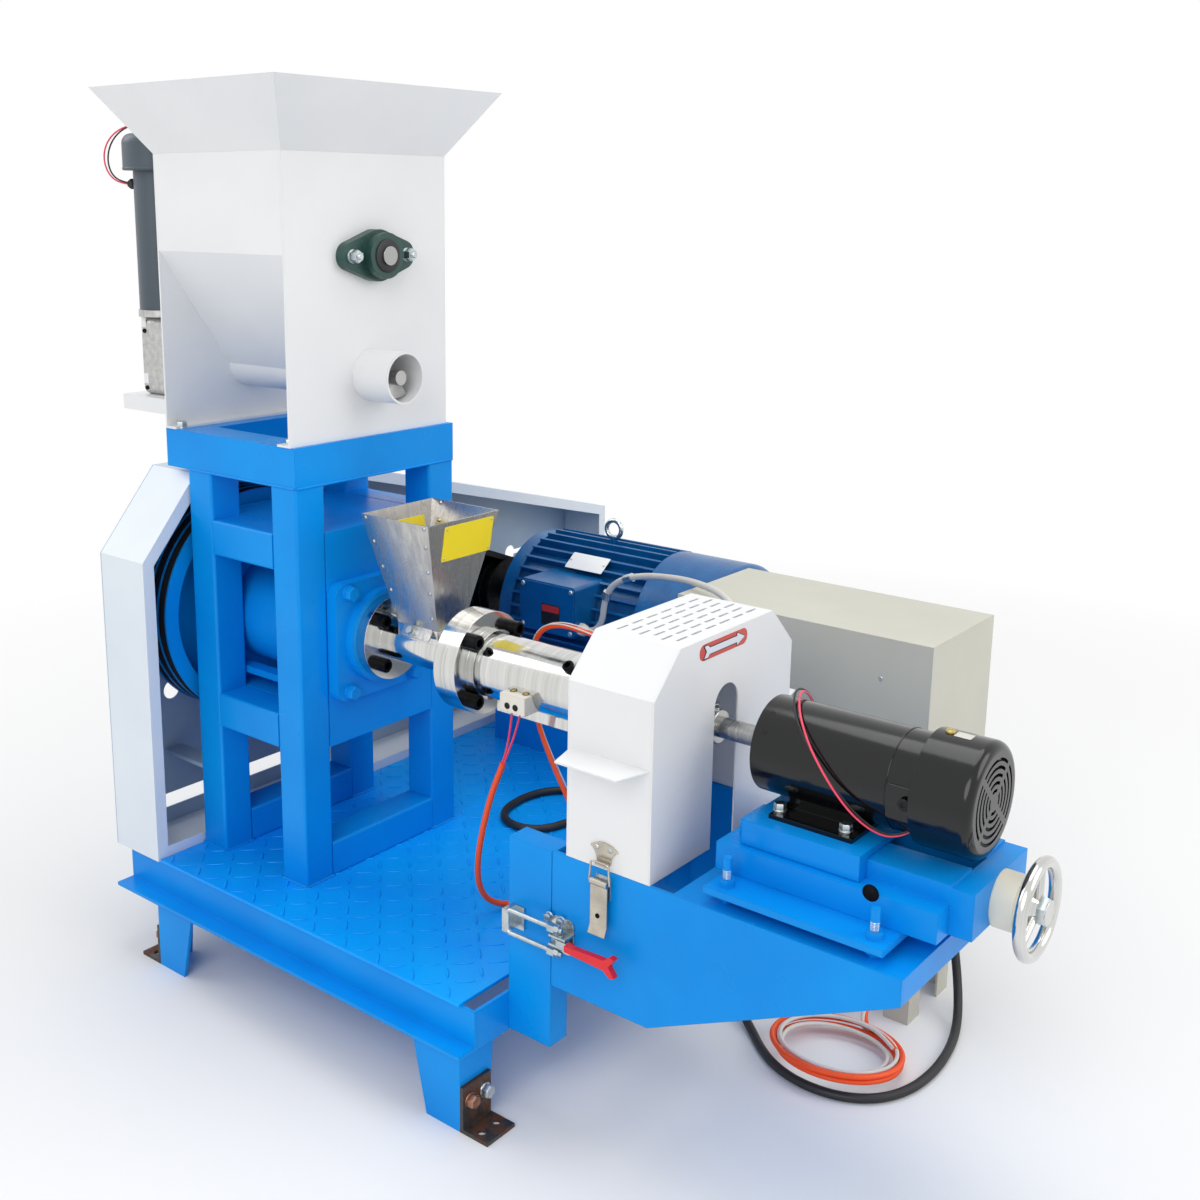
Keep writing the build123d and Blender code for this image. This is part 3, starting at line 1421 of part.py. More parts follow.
def make_control_box():
    """Control box with its door, on two floor legs and two deck legs."""
    z0 = deck_top + box_bottom
    z1 = deck_top + box_top
    body = block(box_back, box_front, box_near, box_far - box_door, z0, z1)
    lip = 2 * box_door
    door = block(box_back + lip, box_front - lip, box_far - box_door, box_far, z0 + lip, z1 - lip)
    add("control_box", body + door)
    legs = []
    for x, out, foot in ((box_front, -1, 0.0), (box_back + deck_leg_inset, 1, deck_top)):
        for y, turn in ((box_near, 1), (box_near + stand_depth, -1)):
            x0, x1 = sorted((x, x + out * stand_leg))
            y0, y1 = sorted((y, y + turn * stand_leg))
            sx = sorted((x, x + out * stand_leg_sheet))
            sy = sorted((y, y + turn * stand_leg_sheet))
            legs.append(block(*sx, y0, y1, foot, z0) + block(x0, x1, *sy, foot, z0))
    add("control_box_legs", *legs)


def cord_tube(name, size, points):
    """A cord of straight runs and tangent arcs, each arc as wide as its runs allow."""
    places = [Vector(x, y, deck_top + z) for x, y, z in points]
    runs = [b - a for a, b in zip(places, places[1:])]
    radii = []
    for before, after in zip(runs, runs[1:]):
        half_turn = math.radians(before.get_angle(after)) / 2
        radii.append(0.45 * min(before.length, after.length) / math.tan(half_turn))
    path = FilletPolyline(*places, radius=radii)
    tube = sweep(Plane(path @ 0, z_dir=path % 0) * Circle(size / 2), path)
    add(name, tube)
    section = math.pi * size ** 2 / 4
    print(name, "length", round(path.length), "radii", sorted(round(r) for r in radii)[:4], end=" ")
    print("share of length times section", round(tube.volume / (section * path.length), 4))


def make_cords():
    """Leads of the heater, the sensor and the motors, the supply cable, and the coil on the floor."""
    cord_tube("heater_lead", heater_lead_size, heater_lead_points)
    cord_tube("sensor_lead", sensor_lead_size, sensor_lead_points)
    cord_tube("motor_conduit", motor_conduit_size, motor_conduit_points)
    cord_tube("supply_cable", supply_cable_size, supply_cable_points)
    cord_tube("cutter_lead", cutter_lead_size, cutter_lead_points)
    cord_tube("feeder_lead", feeder_lead_size, feeder_lead_points)
    cord_tube("coil_lead", coil_lead_size, coil_lead_points)
    section = Plane.XZ * Pos(coil_radius, 0) * RectangleRounded(2 * coil_spread, coil_section, coil_section / 2 - 1)
    coil = revolve(section, Axis.Z)
    add("floor_coil", Pos(coil_x, coil_y, coil_height) * Rot(-coil_tilt, 0, 0) * coil)


def main():
    make_base()
    make_tower()
    make_barrel()
    make_screw()
    make_bin()
    make_feeder()
    make_drive()
    make_motor()
    make_discharge()
    make_hood()
    make_latches()
    make_clamp()
    make_slide()
    make_cutter()
    make_control_box()
    whole = group(*parts.values()).bounding_box()
    make_cords()
    shift = Pos(-whole.center().X, -whole.center().Y, 0)
    print("size", whole.size, "shift", -whole.center().X, -whole.center().Y, "low", whole.min.Z)
    os.makedirs("parts", exist_ok=True)
    for name, shape in parts.items():
        export_step(shift * shape, "parts/" + name + ".step")


main()
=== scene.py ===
import math
import bpy
import bmesh
import numpy as np
from mathutils import Matrix, Vector


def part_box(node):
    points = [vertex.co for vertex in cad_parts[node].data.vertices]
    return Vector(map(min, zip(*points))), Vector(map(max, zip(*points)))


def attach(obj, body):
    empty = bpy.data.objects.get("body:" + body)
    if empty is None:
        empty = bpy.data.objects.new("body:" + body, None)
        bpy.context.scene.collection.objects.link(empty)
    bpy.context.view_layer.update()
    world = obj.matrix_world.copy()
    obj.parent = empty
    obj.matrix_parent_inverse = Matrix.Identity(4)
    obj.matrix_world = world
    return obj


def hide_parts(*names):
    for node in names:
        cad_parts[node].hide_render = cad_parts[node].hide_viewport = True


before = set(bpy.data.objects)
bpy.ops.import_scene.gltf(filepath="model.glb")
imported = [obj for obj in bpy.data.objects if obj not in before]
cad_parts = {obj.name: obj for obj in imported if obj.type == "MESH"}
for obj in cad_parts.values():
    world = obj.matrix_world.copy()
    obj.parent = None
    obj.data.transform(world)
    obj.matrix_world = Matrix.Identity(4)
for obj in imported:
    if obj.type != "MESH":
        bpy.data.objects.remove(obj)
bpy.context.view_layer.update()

# Feed extruder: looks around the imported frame. Places are millimetres from the tower's near
# front foot on the deck, X along the screw, Y across, Z up; at() turns them into the frame.

postsLow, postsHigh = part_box("tower_posts")
homeCorner = np.array([postsHigh.x, postsLow.y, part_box("deck_plate")[1].z])


def at(points):  # machine millimetres to frame metres
    return homeCorner + np.asarray(points, float) / 1000


def nodeBox(name):  # a node's lowest and highest corners in machine millimetres
    return [(np.array(corner) - homeCorner) * 1000 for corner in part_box(name)]


def newObject(name, data):  # an object of the data, in the scene
    item = bpy.data.objects.new(name, data)
    bpy.context.scene.collection.objects.link(item)
    return item


axisY, axisZ = 132, 340  # the screw's axis

# Camera

cameraLook = {
    "azimuth": 39.9,
    "elevation": 12.4,
    "roll": 0.3,
    "place": (1373.3, -1186.3, 924.2),
    "focalPixels": 1413.9,
    "centrePixel": (521.6, 513.5),
    "picturePixels": 1200,
    "sensor": 36.0,
    "clip": (0.05, 60),
}


def makeCamera():
    look = cameraLook
    a, e, r = np.radians([look["azimuth"], look["elevation"], look["roll"]])
    back = Vector((math.sin(a) * math.cos(e), -math.cos(a) * math.cos(e), math.sin(e)))
    level = Vector((math.cos(a), math.sin(a), 0))
    rise = back.cross(level)
    right = level * math.cos(r) + rise * math.sin(r)
    up = -level * math.sin(r) + rise * math.cos(r)
    data = bpy.data.cameras.new("photoCamera")
    data.sensor_width = look["sensor"]
    data.lens = look["focalPixels"] / look["picturePixels"] * look["sensor"]
    data.shift_x = 0.5 - look["centrePixel"][0] / look["picturePixels"]
    data.shift_y = look["centrePixel"][1] / look["picturePixels"] - 0.5
    data.clip_start, data.clip_end = look["clip"]
    camera = newObject("photoCamera", data)
    placed = Matrix((right, up, back)).transposed().to_4x4()
    placed.translation = Vector(at(look["place"]))
    camera.matrix_world = placed
    bpy.context.scene.camera = camera


makeCamera()
print("camera set")

# Materials


def newMaterial(name):
    material = bpy.data.materials.new(name)
    material.use_nodes = True
    tree = material.node_tree
    return material, tree, tree.nodes["Principled BSDF"]


def setSockets(tree, node, settings):
    # a socket takes a value or another node's output; any other name is a setting of the node itself
    for key, value in settings.items():
        if isinstance(value, bpy.types.NodeSocket):
            tree.links.new(value, node.inputs[key])
        elif key in node.inputs:
            node.inputs[key].default_value = value
        else:
            setattr(node, key, value)


def addNode(tree, kind, **settings):
    node = tree.nodes.new(kind)
    setSockets(tree, node, settings)
    return node


def objectPlace(tree, stretch=(1, 1, 1)):  # object coordinates, stretched per axis
    place = addNode(tree, "ShaderNodeTexCoord").outputs["Object"]
    return addNode(tree, "ShaderNodeMapping", Vector=place, Scale=stretch).outputs["Vector"]


def noiseOf(tree, vector, scale, detail, rough=0.5):
    noise = addNode(tree, "ShaderNodeTexNoise", Vector=vector, Scale=scale, Detail=detail, Roughness=rough)
    return noise.outputs["Fac"]


def mapped(tree, value, low, high, fromLow=0.3, fromHigh=0.7):
    span = {"Value": value, "From Min": fromLow, "From Max": fromHigh, "To Min": low, "To Max": high}
    return addNode(tree, "ShaderNodeMapRange", **span).outputs["Result"]


def mathOf(tree, operation, first, second):
    result = addNode(tree, "ShaderNodeMath", operation=operation)
    tree.links.new(first, result.inputs[0])
    tree.links.new(second, result.inputs[1])
    return result.outputs[0]


def mixed(tree, factor, first, second):
    mix = addNode(tree, "ShaderNodeMix", data_type="RGBA")
    tree.links.new(factor, mix.inputs[0])
    for value, socket in ((first, mix.inputs[6]), (second, mix.inputs[7])):
        if isinstance(value, tuple):
            socket.default_value = (*value, 1)
        else:
            tree.links.new(value, socket)
    return mix.outputs[2]


def linear(colour):  # written colours are display values; the shader wants linear light
    return tuple(float(((c + 0.055) / 1.055) ** 2.4 if c > 0.04045 else c / 12.92) for c in colour)


def toneOf(tree, factor, finish):  # from the finish's darker shade to its colour
    return mixed(tree, factor, linear(finish["shade"]), linear(finish["colour"]))


def softEdge(tree, radius, height, strength, depth=0.001):
    # rounded edges from the bevel node, then fine bumps on top
    edge = addNode(tree, "ShaderNodeBevel", Radius=radius, samples=4).outputs["Normal"]
    bump = addNode(tree, "ShaderNodeBump", Height=height, Normal=edge, Strength=strength, Distance=depth)
    return bump.outputs["Normal"]


# Each row: colour, darker shade, least and most roughness, coat, bump, bumps a metre, edge radius, gloss
paintRows = {
    "bluePaint": ((0.012, 0.585, 0.92), (0.008, 0.52, 0.865), (0.26, 0.42), 0.04, 0.12, 220, 0.0016, 0.16),
    "deckPaint": ((0.02, 0.67, 1.0), (0.015, 0.58, 0.97), (0.3, 0.5), 0.04, 0.2, 160, 0.001, 0.18),
    "motorBlue": ((0.02, 0.375, 0.6), (0.015, 0.31, 0.54), (0.22, 0.38), 0.05, 0.35, 180, 0.0012, 0.2),
    "whiteSheet": ((0.905, 0.91, 0.915), (0.88, 0.885, 0.89), (0.3, 0.42), 0.15, 0.05, 500, 0.0008, 0.5),
    "guardSheet": ((0.87, 0.9, 0.93), (0.83, 0.87, 0.91), (0.32, 0.45), 0.1, 0.06, 400, 0.0008, 0.5),
    # the guard's back sheet: the pale guard sheet darkened and tinted blue, painted shade and painted reflection of
    # the blue frame
    "guardBackPaintedShade": ((0.66, 0.74, 0.82), (0.6, 0.69, 0.78), (0.32, 0.45), 0.1, 0.06, 400, 0.0008, 0.5),
    "beigePaint": ((0.775, 0.77, 0.72), (0.745, 0.74, 0.69), (0.42, 0.55), 0.0, 0.22, 700, 0.0012, 0.5),
    "blackGloss": ((0.05, 0.055, 0.062), (0.035, 0.04, 0.045), (0.1, 0.2), 0.2, 0.04, 260, 0.0012, 0.35),
    "blackSatin": ((0.09, 0.09, 0.095), (0.065, 0.065, 0.07), (0.36, 0.48), 0.1, 0.08, 260, 0.0008, 0.5),
    "slatePaint": ((0.29, 0.335, 0.375), (0.26, 0.3, 0.34), (0.34, 0.48), 0.1, 0.1, 400, 0.001, 0.5),
    "bearingGreen": ((0.14, 0.3, 0.27), (0.1, 0.23, 0.21), (0.35, 0.5), 0.1, 0.3, 300, 0.0015, 0.5),
    "redGrip": ((0.9, 0.12, 0.17), (0.84, 0.09, 0.13), (0.3, 0.4), 0.2, 0.05, 300, 0.001, 0.5),
    "ivoryNylon": ((0.9, 0.885, 0.82), (0.86, 0.84, 0.77), (0.42, 0.55), 0.0, 0.1, 300, 0.002, 0.5),
    "ceramicWhite": ((0.91, 0.895, 0.85), (0.87, 0.85, 0.8), (0.25, 0.4), 0.2, 0.08, 300, 0.002, 0.5),
    "beltRubber": ((0.075, 0.075, 0.08), (0.05, 0.05, 0.055), (0.6, 0.8), 0.0, 0.3, 600, 0.0008, 0.5),
    "blackRubber": ((0.13, 0.13, 0.14), (0.1, 0.1, 0.11), (0.45, 0.6), 0.0, 0.12, 500, 0.0005, 0.5),
    "orangeSleeve": ((0.98, 0.34, 0.08), (0.94, 0.28, 0.05), (0.38, 0.5), 0.0, 0.1, 600, 0.0005, 0.5),
    "whiteLead": ((0.88, 0.86, 0.83), (0.83, 0.8, 0.77), (0.45, 0.6), 0.0, 0.15, 700, 0.0005, 0.5),
    "greyConduit": ((0.83, 0.82, 0.79), (0.76, 0.75, 0.72), (0.4, 0.55), 0.0, 0.12, 500, 0.0005, 0.5),
    "pinkLead": ((0.95, 0.3, 0.42), (0.9, 0.24, 0.36), (0.35, 0.5), 0.0, 0.05, 500, 0.0005, 0.5),
    "yellowPlate": ((0.97, 0.88, 0.08), (0.94, 0.84, 0.06), (0.28, 0.4), 0.3, 0.03, 300, 0.0004, 0.5),
    "redPlate": ((0.8, 0.2, 0.16), (0.74, 0.16, 0.13), (0.28, 0.4), 0.3, 0.03, 300, 0.0004, 0.5),
    "palePlate": ((0.86, 0.88, 0.92), (0.83, 0.85, 0.89), (0.28, 0.4), 0.3, 0.03, 300, 0.0004, 0.5),
    # near black: the plug's own colour, and painted shade inside the cutter motor's vent slot and the terminal's
    # holes
    "darkPlugAndHoleShade": ((0.03, 0.03, 0.035), (0.02, 0.02, 0.025), (0.7, 0.8), 0.0, 0.05, 300, 0.0004, 0.5),
}
# Each row: colour, darker shade, least and most roughness, grain along X, Y and Z, bump, edge radius
metalRows = {
    "stainless": ((0.8, 0.79, 0.77), (0.68, 0.67, 0.66), (0.2, 0.34), (90, 90, 3), 0.12, 0.0006),
    "brightSteel": ((0.88, 0.88, 0.87), (0.78, 0.78, 0.77), (0.07, 0.16), (160, 4, 4), 0.06, 0.001),
    "turnedSteel": ((0.74, 0.74, 0.73), (0.6, 0.6, 0.6), (0.22, 0.38), (240, 6, 6), 0.15, 0.001),
    "nickel": ((0.8, 0.77, 0.71), (0.7, 0.67, 0.62), (0.22, 0.36), (60, 60, 60), 0.05, 0.0008),
    "zinc": ((0.82, 0.84, 0.84), (0.68, 0.73, 0.74), (0.22, 0.4), (50, 50, 50), 0.1, 0.0008),
    "castAluminium": ((0.8, 0.8, 0.79), (0.7, 0.7, 0.7), (0.38, 0.52), (120, 120, 120), 0.3, 0.0012),
    # black oxide for the screws; the dark floors of the latch holes and the slide's recesses are painted shade
    "blackOxide": ((0.13, 0.13, 0.135), (0.08, 0.08, 0.085), (0.3, 0.46), (90, 90, 90), 0.1, 0.0008),
    "darkIron": ((0.22, 0.22, 0.23), (0.14, 0.14, 0.15), (0.4, 0.6), (80, 80, 80), 0.25, 0.001),
    "brass": ((0.8, 0.72, 0.46), (0.68, 0.6, 0.36), (0.22, 0.36), (90, 90, 90), 0.1, 0.0006),
    "copperBolt": ((0.72, 0.53, 0.44), (0.55, 0.38, 0.3), (0.28, 0.44), (90, 90, 90), 0.1, 0.0008),
}
paintKeys = ("colour", "shade", "rough", "coat", "bump", "grain", "edge", "shine")
metalKeys = ("colour", "shade", "rough", "stretch", "bump", "edge")
finishes = {name: dict(zip(paintKeys, row)) for name, row in paintRows.items()}
metals = {name: dict(zip(metalKeys, row)) for name, row in metalRows.items()}
paintNoise = {"slow": 5.0, "patchy": 14.0, "coatRoughness": 0.12}


def paint(name):
    # two close tones of the paint mixed by slow noise, roughness by another, fine bumps
    finish = finishes[name]
    material, tree, shader = newMaterial(name)
    vector = objectPlace(tree)
    slow = mapped(tree, noiseOf(tree, vector, paintNoise["slow"], 4), 0, 1)
    patchy = noiseOf(tree, vector, paintNoise["patchy"], 4)
    setSockets(tree, shader, {
        "Base Color": toneOf(tree, slow, finish),
        "Roughness": mapped(tree, patchy, *finish["rough"]),
        "Coat Weight": finish["coat"],
        "Coat Roughness": paintNoise["coatRoughness"],
        "Specular IOR Level": finish["shine"],
        "Normal": softEdge(tree, finish["edge"], noiseOf(tree, vector, finish["grain"], 2), finish["bump"]),
    })
    return material


def metal(name):
    # bright metal with a stretched grain in tone, roughness and bumps
    finish = metals[name]
    material, tree, shader = newMaterial(name)
    grain = noiseOf(tree, objectPlace(tree, finish["stretch"]), 1.0, 4, 0.6)
    smooth, rough = finish["rough"]
    setSockets(tree, shader, {
        "Metallic": 1.0,
        "Base Color": toneOf(tree, mapped(tree, grain, 0, 1), finish),
        "Roughness": mapped(tree, grain, rough, smooth),
        "Normal": softEdge(tree, finish["edge"], grain, finish["bump"], 0.0004),
    })
    return material


rawSteel = {
    "scaleTones": ((0.22, 0.22, 0.225), (0.38, 0.37, 0.36)),
    "scaleGrain": 160,
    "rustTone": (0.42, 0.27, 0.19),
    "rustGrain": 45,
    "rustSpan": (0.48, 0.62),
    "metallic": 0.7,
    "rough": (0.42, 0.78),
    "edge": 0.0008,
    "grain": 500,
    "bump": 0.3,
}


def rawSteelPlate():
    # mill scale with brown rust where slow noise is high
    look = rawSteel
    material, tree, shader = newMaterial("rawSteel")
    vector = objectPlace(tree)
    rust = mapped(tree, noiseOf(tree, vector, look["rustGrain"], 6, 0.65), 0, 1, *look["rustSpan"])
    dark, light = look["scaleTones"]
    scale = mixed(tree, noiseOf(tree, vector, look["scaleGrain"], 3), linear(dark), linear(light))
    setSockets(tree, shader, {
        "Base Color": mixed(tree, rust, scale, linear(look["rustTone"])),
        "Metallic": look["metallic"],
        "Roughness": mapped(tree, rust, *look["rough"], 0, 1),
        "Normal": softEdge(tree, look["edge"], noiseOf(tree, vector, look["grain"], 2), look["bump"]),
    })
    return material


twoFinishes = {  # paint, metal, axis, where it changes in machine millimetres, whether the paint is past that
    "gripAndCheeks": ("redGrip", "zinc", 0, 478, True),
    "motorAndEye": ("motorBlue", "zinc", 2, 370, False),
}
splitLook = {"halfWidth": 0.0004, "noise": 30.0, "metalRougher": 0.04, "paintRougher": 0.06}


def paintToMetal(name):
    # one node in two finishes: paint on one side of a plane square to the axis, plated metal on the other
    painted, plated, axis, place, paintedPast = twoFinishes[name]
    coat, bare = finishes[painted], metals[plated]
    material, tree, shader = newMaterial(name)
    vector = objectPlace(tree)
    past = addNode(tree, "ShaderNodeSeparateXYZ", Vector=vector).outputs[axis]
    limit = homeCorner[axis] + place / 1000
    ends = (0, 1) if paintedPast else (1, 0)
    side = mapped(tree, past, *ends, limit - splitLook["halfWidth"], limit + splitLook["halfWidth"])
    slow = mapped(tree, noiseOf(tree, vector, splitLook["noise"], 4), 0, 1)
    rough = (bare["rough"][0] + splitLook["metalRougher"], coat["rough"][0] + splitLook["paintRougher"])
    setSockets(tree, shader, {
        "Base Color": mixed(tree, side, toneOf(tree, slow, bare), toneOf(tree, slow, coat)),
        "Metallic": mapped(tree, side, 1, 0, 0, 1),
        "Roughness": mapped(tree, side, *rough, 0, 1),
        "Normal": softEdge(tree, coat["edge"], noiseOf(tree, vector, coat["grain"], 2), coat["bump"]),
    })
    return material


looks = {name: paint(name) for name in finishes}
looks.update({name: metal(name) for name in metals})
looks.update({name: paintToMetal(name) for name in twoFinishes})
looks["rawSteel"] = rawSteelPlate()
print("materials made:", len(looks))

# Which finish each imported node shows

nodeLooks = {
    "bluePaint": (
        "base_side_rails", "base_cross_rails", "base_legs", "tower_posts", "tower_top_ring", "tower_rails",
        "spindle_box", "bearing_cover", "motor_stand", "discharge_posts", "chute_sides", "chute_plates",
        "slide_mounting_plate", "slide_base", "carriage", "main_pulley",
    ),
    "deckPaint": ("deck_plate",),
    "motorAndEye": ("motor_frame",),
    "whiteSheet": ("bin_end_plates", "bin_funnel", "bin_flare", "feeder_shelf", "hood_cover", "hood_end_plates"),
    "guardSheet": ("belt_guard_rim",),
    # the back sheet takes the darker blue-grey: painted shade and painted reflection
    "guardBackPaintedShade": ("belt_guard_back",),
    "beigePaint": ("control_box", "control_box_legs"),
    "blackGloss": ("cutter_motor",),
    "slatePaint": ("feeder_motor",),
    "bearingGreen": ("stirrer_bearings",),
    "gripAndCheeks": ("clamp_lever",),
    "ivoryNylon": ("bush",),
    "ceramicWhite": ("heater_terminal",),
    "beltRubber": ("v_belts",),
    "stainless": ("inlet_hopper",),
    "brightSteel": ("feed_barrel", "hot_barrel", "heater_band", "handwheel"),
    "turnedSteel": ("extruder_screw", "feed_auger", "stirrer", "cutter_rotor"),
    "nickel": ("latch_catches", "latch_lever_near", "latch_lever_far"),
    "zinc": ("clamp_hook", "latch_bases"),
    "castAluminium": ("feeder_gearbox",),
    "darkIron": ("motor_pulley",),
    "rawSteel": ("foot_brackets",),
    "orangeSleeve": ("heater_lead", "sensor_lead", "coil_lead", "floor_coil"),
    "blackRubber": ("supply_cable", "cutter_lead", "feeder_lead"),
    "greyConduit": ("motor_conduit",),
}
for look, names in nodeLooks.items():
    for name in names:
        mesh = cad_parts[name].data
        mesh.materials.clear()
        mesh.materials.append(looks[look])
unfinished = set(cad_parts) - {name for names in nodeLooks.values() for name in names}
print("nodes finished, left over:", sorted(unfinished))

# Shapes: each is (points, faces) in millimetres, with its own Z as its axis


def skin(rings):
    # rings of points one after another: a face from each side to the next ring, a flat cap on both ends
    rings = np.asarray(rings, float)
    rows, count = rings.shape[:2]
    row, column = np.meshgrid(np.arange(rows - 1), np.arange(count), indexing="ij")
    after = (column + 1) % count
    corners = (row * count + column, row * count + after, (row + 1) * count + after, (row + 1) * count + column)
    faces = np.stack(corners, -1).reshape(-1, 4).tolist()
    faces.append(list(range(count - 1, -1, -1)))
    faces.append(list(range((rows - 1) * count, rows * count)))
    return rings.reshape(-1, 3), faces


def turned(profile, count=24, hexagonFrom=None):
    # each (radius, height) goes round Z; from one row on the ring is a hexagon of that half width
    angle = np.arange(count) * 2 * np.pi / count
    radius, height = np.asarray(profile, float).T
    reach = np.repeat(radius[:, None], count, 1)
    if hexagonFrom is not None:
        sixth = np.pi / 3
        reach[hexagonFrom:] /= np.cos((angle + sixth / 2) % sixth - sixth / 2)
    level = np.repeat(height[:, None], count, 1)
    return skin(np.stack([reach * np.cos(angle), reach * np.sin(angle), level], -1))


def roundedOutline(width, height, radius, arcPoints=6):
    # four quarter circles about the corners' centres
    quarter = np.linspace(0, np.pi / 2, arcPoints)
    turn = quarter[None] + np.arange(4)[:, None] * np.pi / 2
    centre = np.array([(1, 1), (-1, 1), (-1, -1), (1, -1)]) * (width / 2 - radius, height / 2 - radius)
    ring = centre[:, None] + radius * np.stack([np.cos(turn), np.sin(turn)], -1)
    return ring.reshape(-1, 2)


def mirrored(half):  # an outline from its upper half, which starts and ends on X
    half = np.asarray(half, float)
    return np.concatenate([half, half[-2:0:-1] * (1, -1)])


def plate(outline, thickness, bevel):
    # the outline raised to the thickness, its top drawn in by the bevel
    outline = np.asarray(outline, float)
    inner = outline * (1 - bevel / np.abs(outline).max(0))
    steps = ((outline, 0), (outline, thickness - bevel), (inner, thickness))
    return skin([np.column_stack([ring, np.full(len(ring), rise)]) for ring, rise in steps])


def joined(*shapes):
    points = np.concatenate([shape[0] for shape in shapes])
    starts = np.cumsum([0] + [len(shape[0]) for shape in shapes])
    return points, [[corner + start for corner in face] for shape, start in zip(shapes, starts) for face in shape[1]]


def facing(normal, above):  # the turn that brings Z to the normal and Y near the one above
    normal = np.asarray(normal, float) / np.linalg.norm(normal)
    side = np.cross(above, normal)
    side = side / np.linalg.norm(side)
    return np.stack([side, np.cross(normal, side), normal], 1)


def copies(shape, places, normal=(0, 0, 1), above=None):
    # the shape at every place at once, its Z along the normal and its Y near Z, or near Y where Z can't be
    if above is None:
        above = (0, 1, 0) if abs(normal[2]) > 0.99 else (0, 0, 1)
    points, faces = shape
    spots = np.asarray(places, float).reshape(-1, 3)
    moved = (points @ facing(normal, above).T)[None] + spots[:, None]
    return moved.reshape(-1, 3), [[c + n * len(points) for c in face] for n in range(len(spots)) for face in faces]


def roundBody(angles, radius, x, body, centre=(axisY, axisZ), outward=True):
    # the shape at angles round a body's axis along X, pointing away from it or along it
    shapes = []
    for angle in np.radians(angles):
        away = np.array([0, np.cos(angle), np.sin(angle)])
        spot = np.array([x, *centre]) + radius * away
        shapes.append(copies(body, spot, away if outward else (1, 0, 0), (1, 0, 0) if outward else away))
    return joined(*shapes)


def addPiece(name, parts, body="root", sharp=35):
    # one mesh from (shape, finish) pairs: each shape's faces take its finish
    points, faces = joined(*[shape for shape, finish in parts])
    mesh = bpy.data.meshes.new(name)
    mesh.from_pydata(at(points).tolist(), [], faces)
    order = np.repeat(np.arange(len(parts)), [len(shape[1]) for shape, finish in parts])
    mesh.polygons.foreach_set("material_index", order.astype(np.int32))
    for shape, finish in parts:
        mesh.materials.append(looks[finish])
    shell = bmesh.new()
    shell.from_mesh(mesh)
    bmesh.ops.recalc_face_normals(shell, faces=shell.faces)
    shell.to_mesh(mesh)
    shell.free()
    mesh.polygons.foreach_set("use_smooth", np.ones(len(mesh.polygons), bool))
    mesh.set_sharp_from_angle(angle=math.radians(sharp))
    piece = newObject(name, mesh)
    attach(piece, body)
    return piece


def hexHead(flats, height, base=0.0):  # a hexagon with a chamfered top
    half = flats / 2
    profile = [(half, base), (half, base + height * 0.85), (half * 0.9, base + height)]
    return turned(profile, 24, 0)


def washer(radius, thickness=2.0):
    return turned([(radius, 0), (radius, thickness * 0.8), (radius * 0.97, thickness)])


def stud(radius, height, base=0.0, pitch=1.5):
    # a thread: the radius swings between crest and root along the height
    rows = np.arange(base, base + height, pitch / 2)
    swing = radius * (1 - 0.09 * (np.arange(len(rows)) % 2))
    return turned(list(zip(swing, rows)) + [(radius * 0.8, base + height)], 16)


def hexBolt(flats):  # washer and head
    return joined(washer(flats * 0.62), hexHead(flats, flats * 0.58, 2.0))


def hexNut(flats, tail=6.0):  # washer, nut and the stud's end
    return joined(washer(flats * 0.62), hexHead(flats, flats * 0.75, 2.0), stud(flats * 0.29, tail, flats * 0.75))


def socketScrew(radius, height):  # a round head with a hexagon recess
    recess = radius * 0.52
    profile = [(radius, 0), (radius, height - 1.2), (radius - 1.2, height), (recess, height), (recess, height * 0.55)]
    return turned(profile, 24, 3)


def rivet(radius, rise):  # a low dome: a quarter circle flattened to the rise
    angle = np.linspace(0, np.pi / 2, 6)[:-1]
    return turned(list(zip(radius * np.cos(angle), rise * np.sin(angle))) + [(radius * 0.08, rise)], 16)


def crossScrew(radius, rise):  # pan head with a dished driver recess
    profile = [(radius, 0), (radius * 0.96, rise * 0.6), (radius * 0.7, rise), (radius * 0.32, rise)]
    return turned(profile + [(radius * 0.22, rise * 0.4)], 20)


def carried(line):
    # tangents of a line, and a side vector taken along it with no twist
    tangent = np.gradient(line, axis=0)
    tangent /= np.linalg.norm(tangent, axis=1)[:, None]
    side = np.cross(tangent[0], (0.31, 0.52, 0.79))  # an odd direction, along no run
    sides = []
    for along in tangent:
        side = side - along * (side @ along)
        side = side / np.linalg.norm(side)
        sides.append(side)
    sides = np.array(sides)
    return sides, np.cross(tangent, sides)


def runOf(line):  # millimetres gone at each point of a line
    return np.concatenate([[0], np.cumsum(np.linalg.norm(np.diff(line, axis=0), axis=1))])


def strand(line, radius, offset=0.0, turns=0.0, start=0.0, sides=10):
    # a tube beside a line: its centre goes round the line at the offset, so many turns a metre
    side, rise = carried(line)
    run = runOf(line)
    swing = start + turns * run * 2 * np.pi / 1000
    offset = np.broadcast_to(offset, run.shape)[:, None]
    radius = np.broadcast_to(radius, run.shape)[:, None, None]
    centre = line + offset * (np.cos(swing)[:, None] * side + np.sin(swing)[:, None] * rise)
    angle = np.arange(sides) * 2 * np.pi / sides
    spoke = np.cos(angle)[:, None] * side[:, None] + np.sin(angle)[:, None] * rise[:, None]
    return skin(centre[:, None] + radius * spoke)


def weldBead(start, end, radius=2.4, step=1.4, swell=0.16, beat=1.7):
    # a rod along the seam whose radius swells with each drop
    count = max(4, int(np.linalg.norm(np.subtract(end, start)) / step))
    line = np.linspace(start, end, count)
    return strand(line, radius * (1 + swell * np.sin(np.arange(count) * beat)), sides=8)


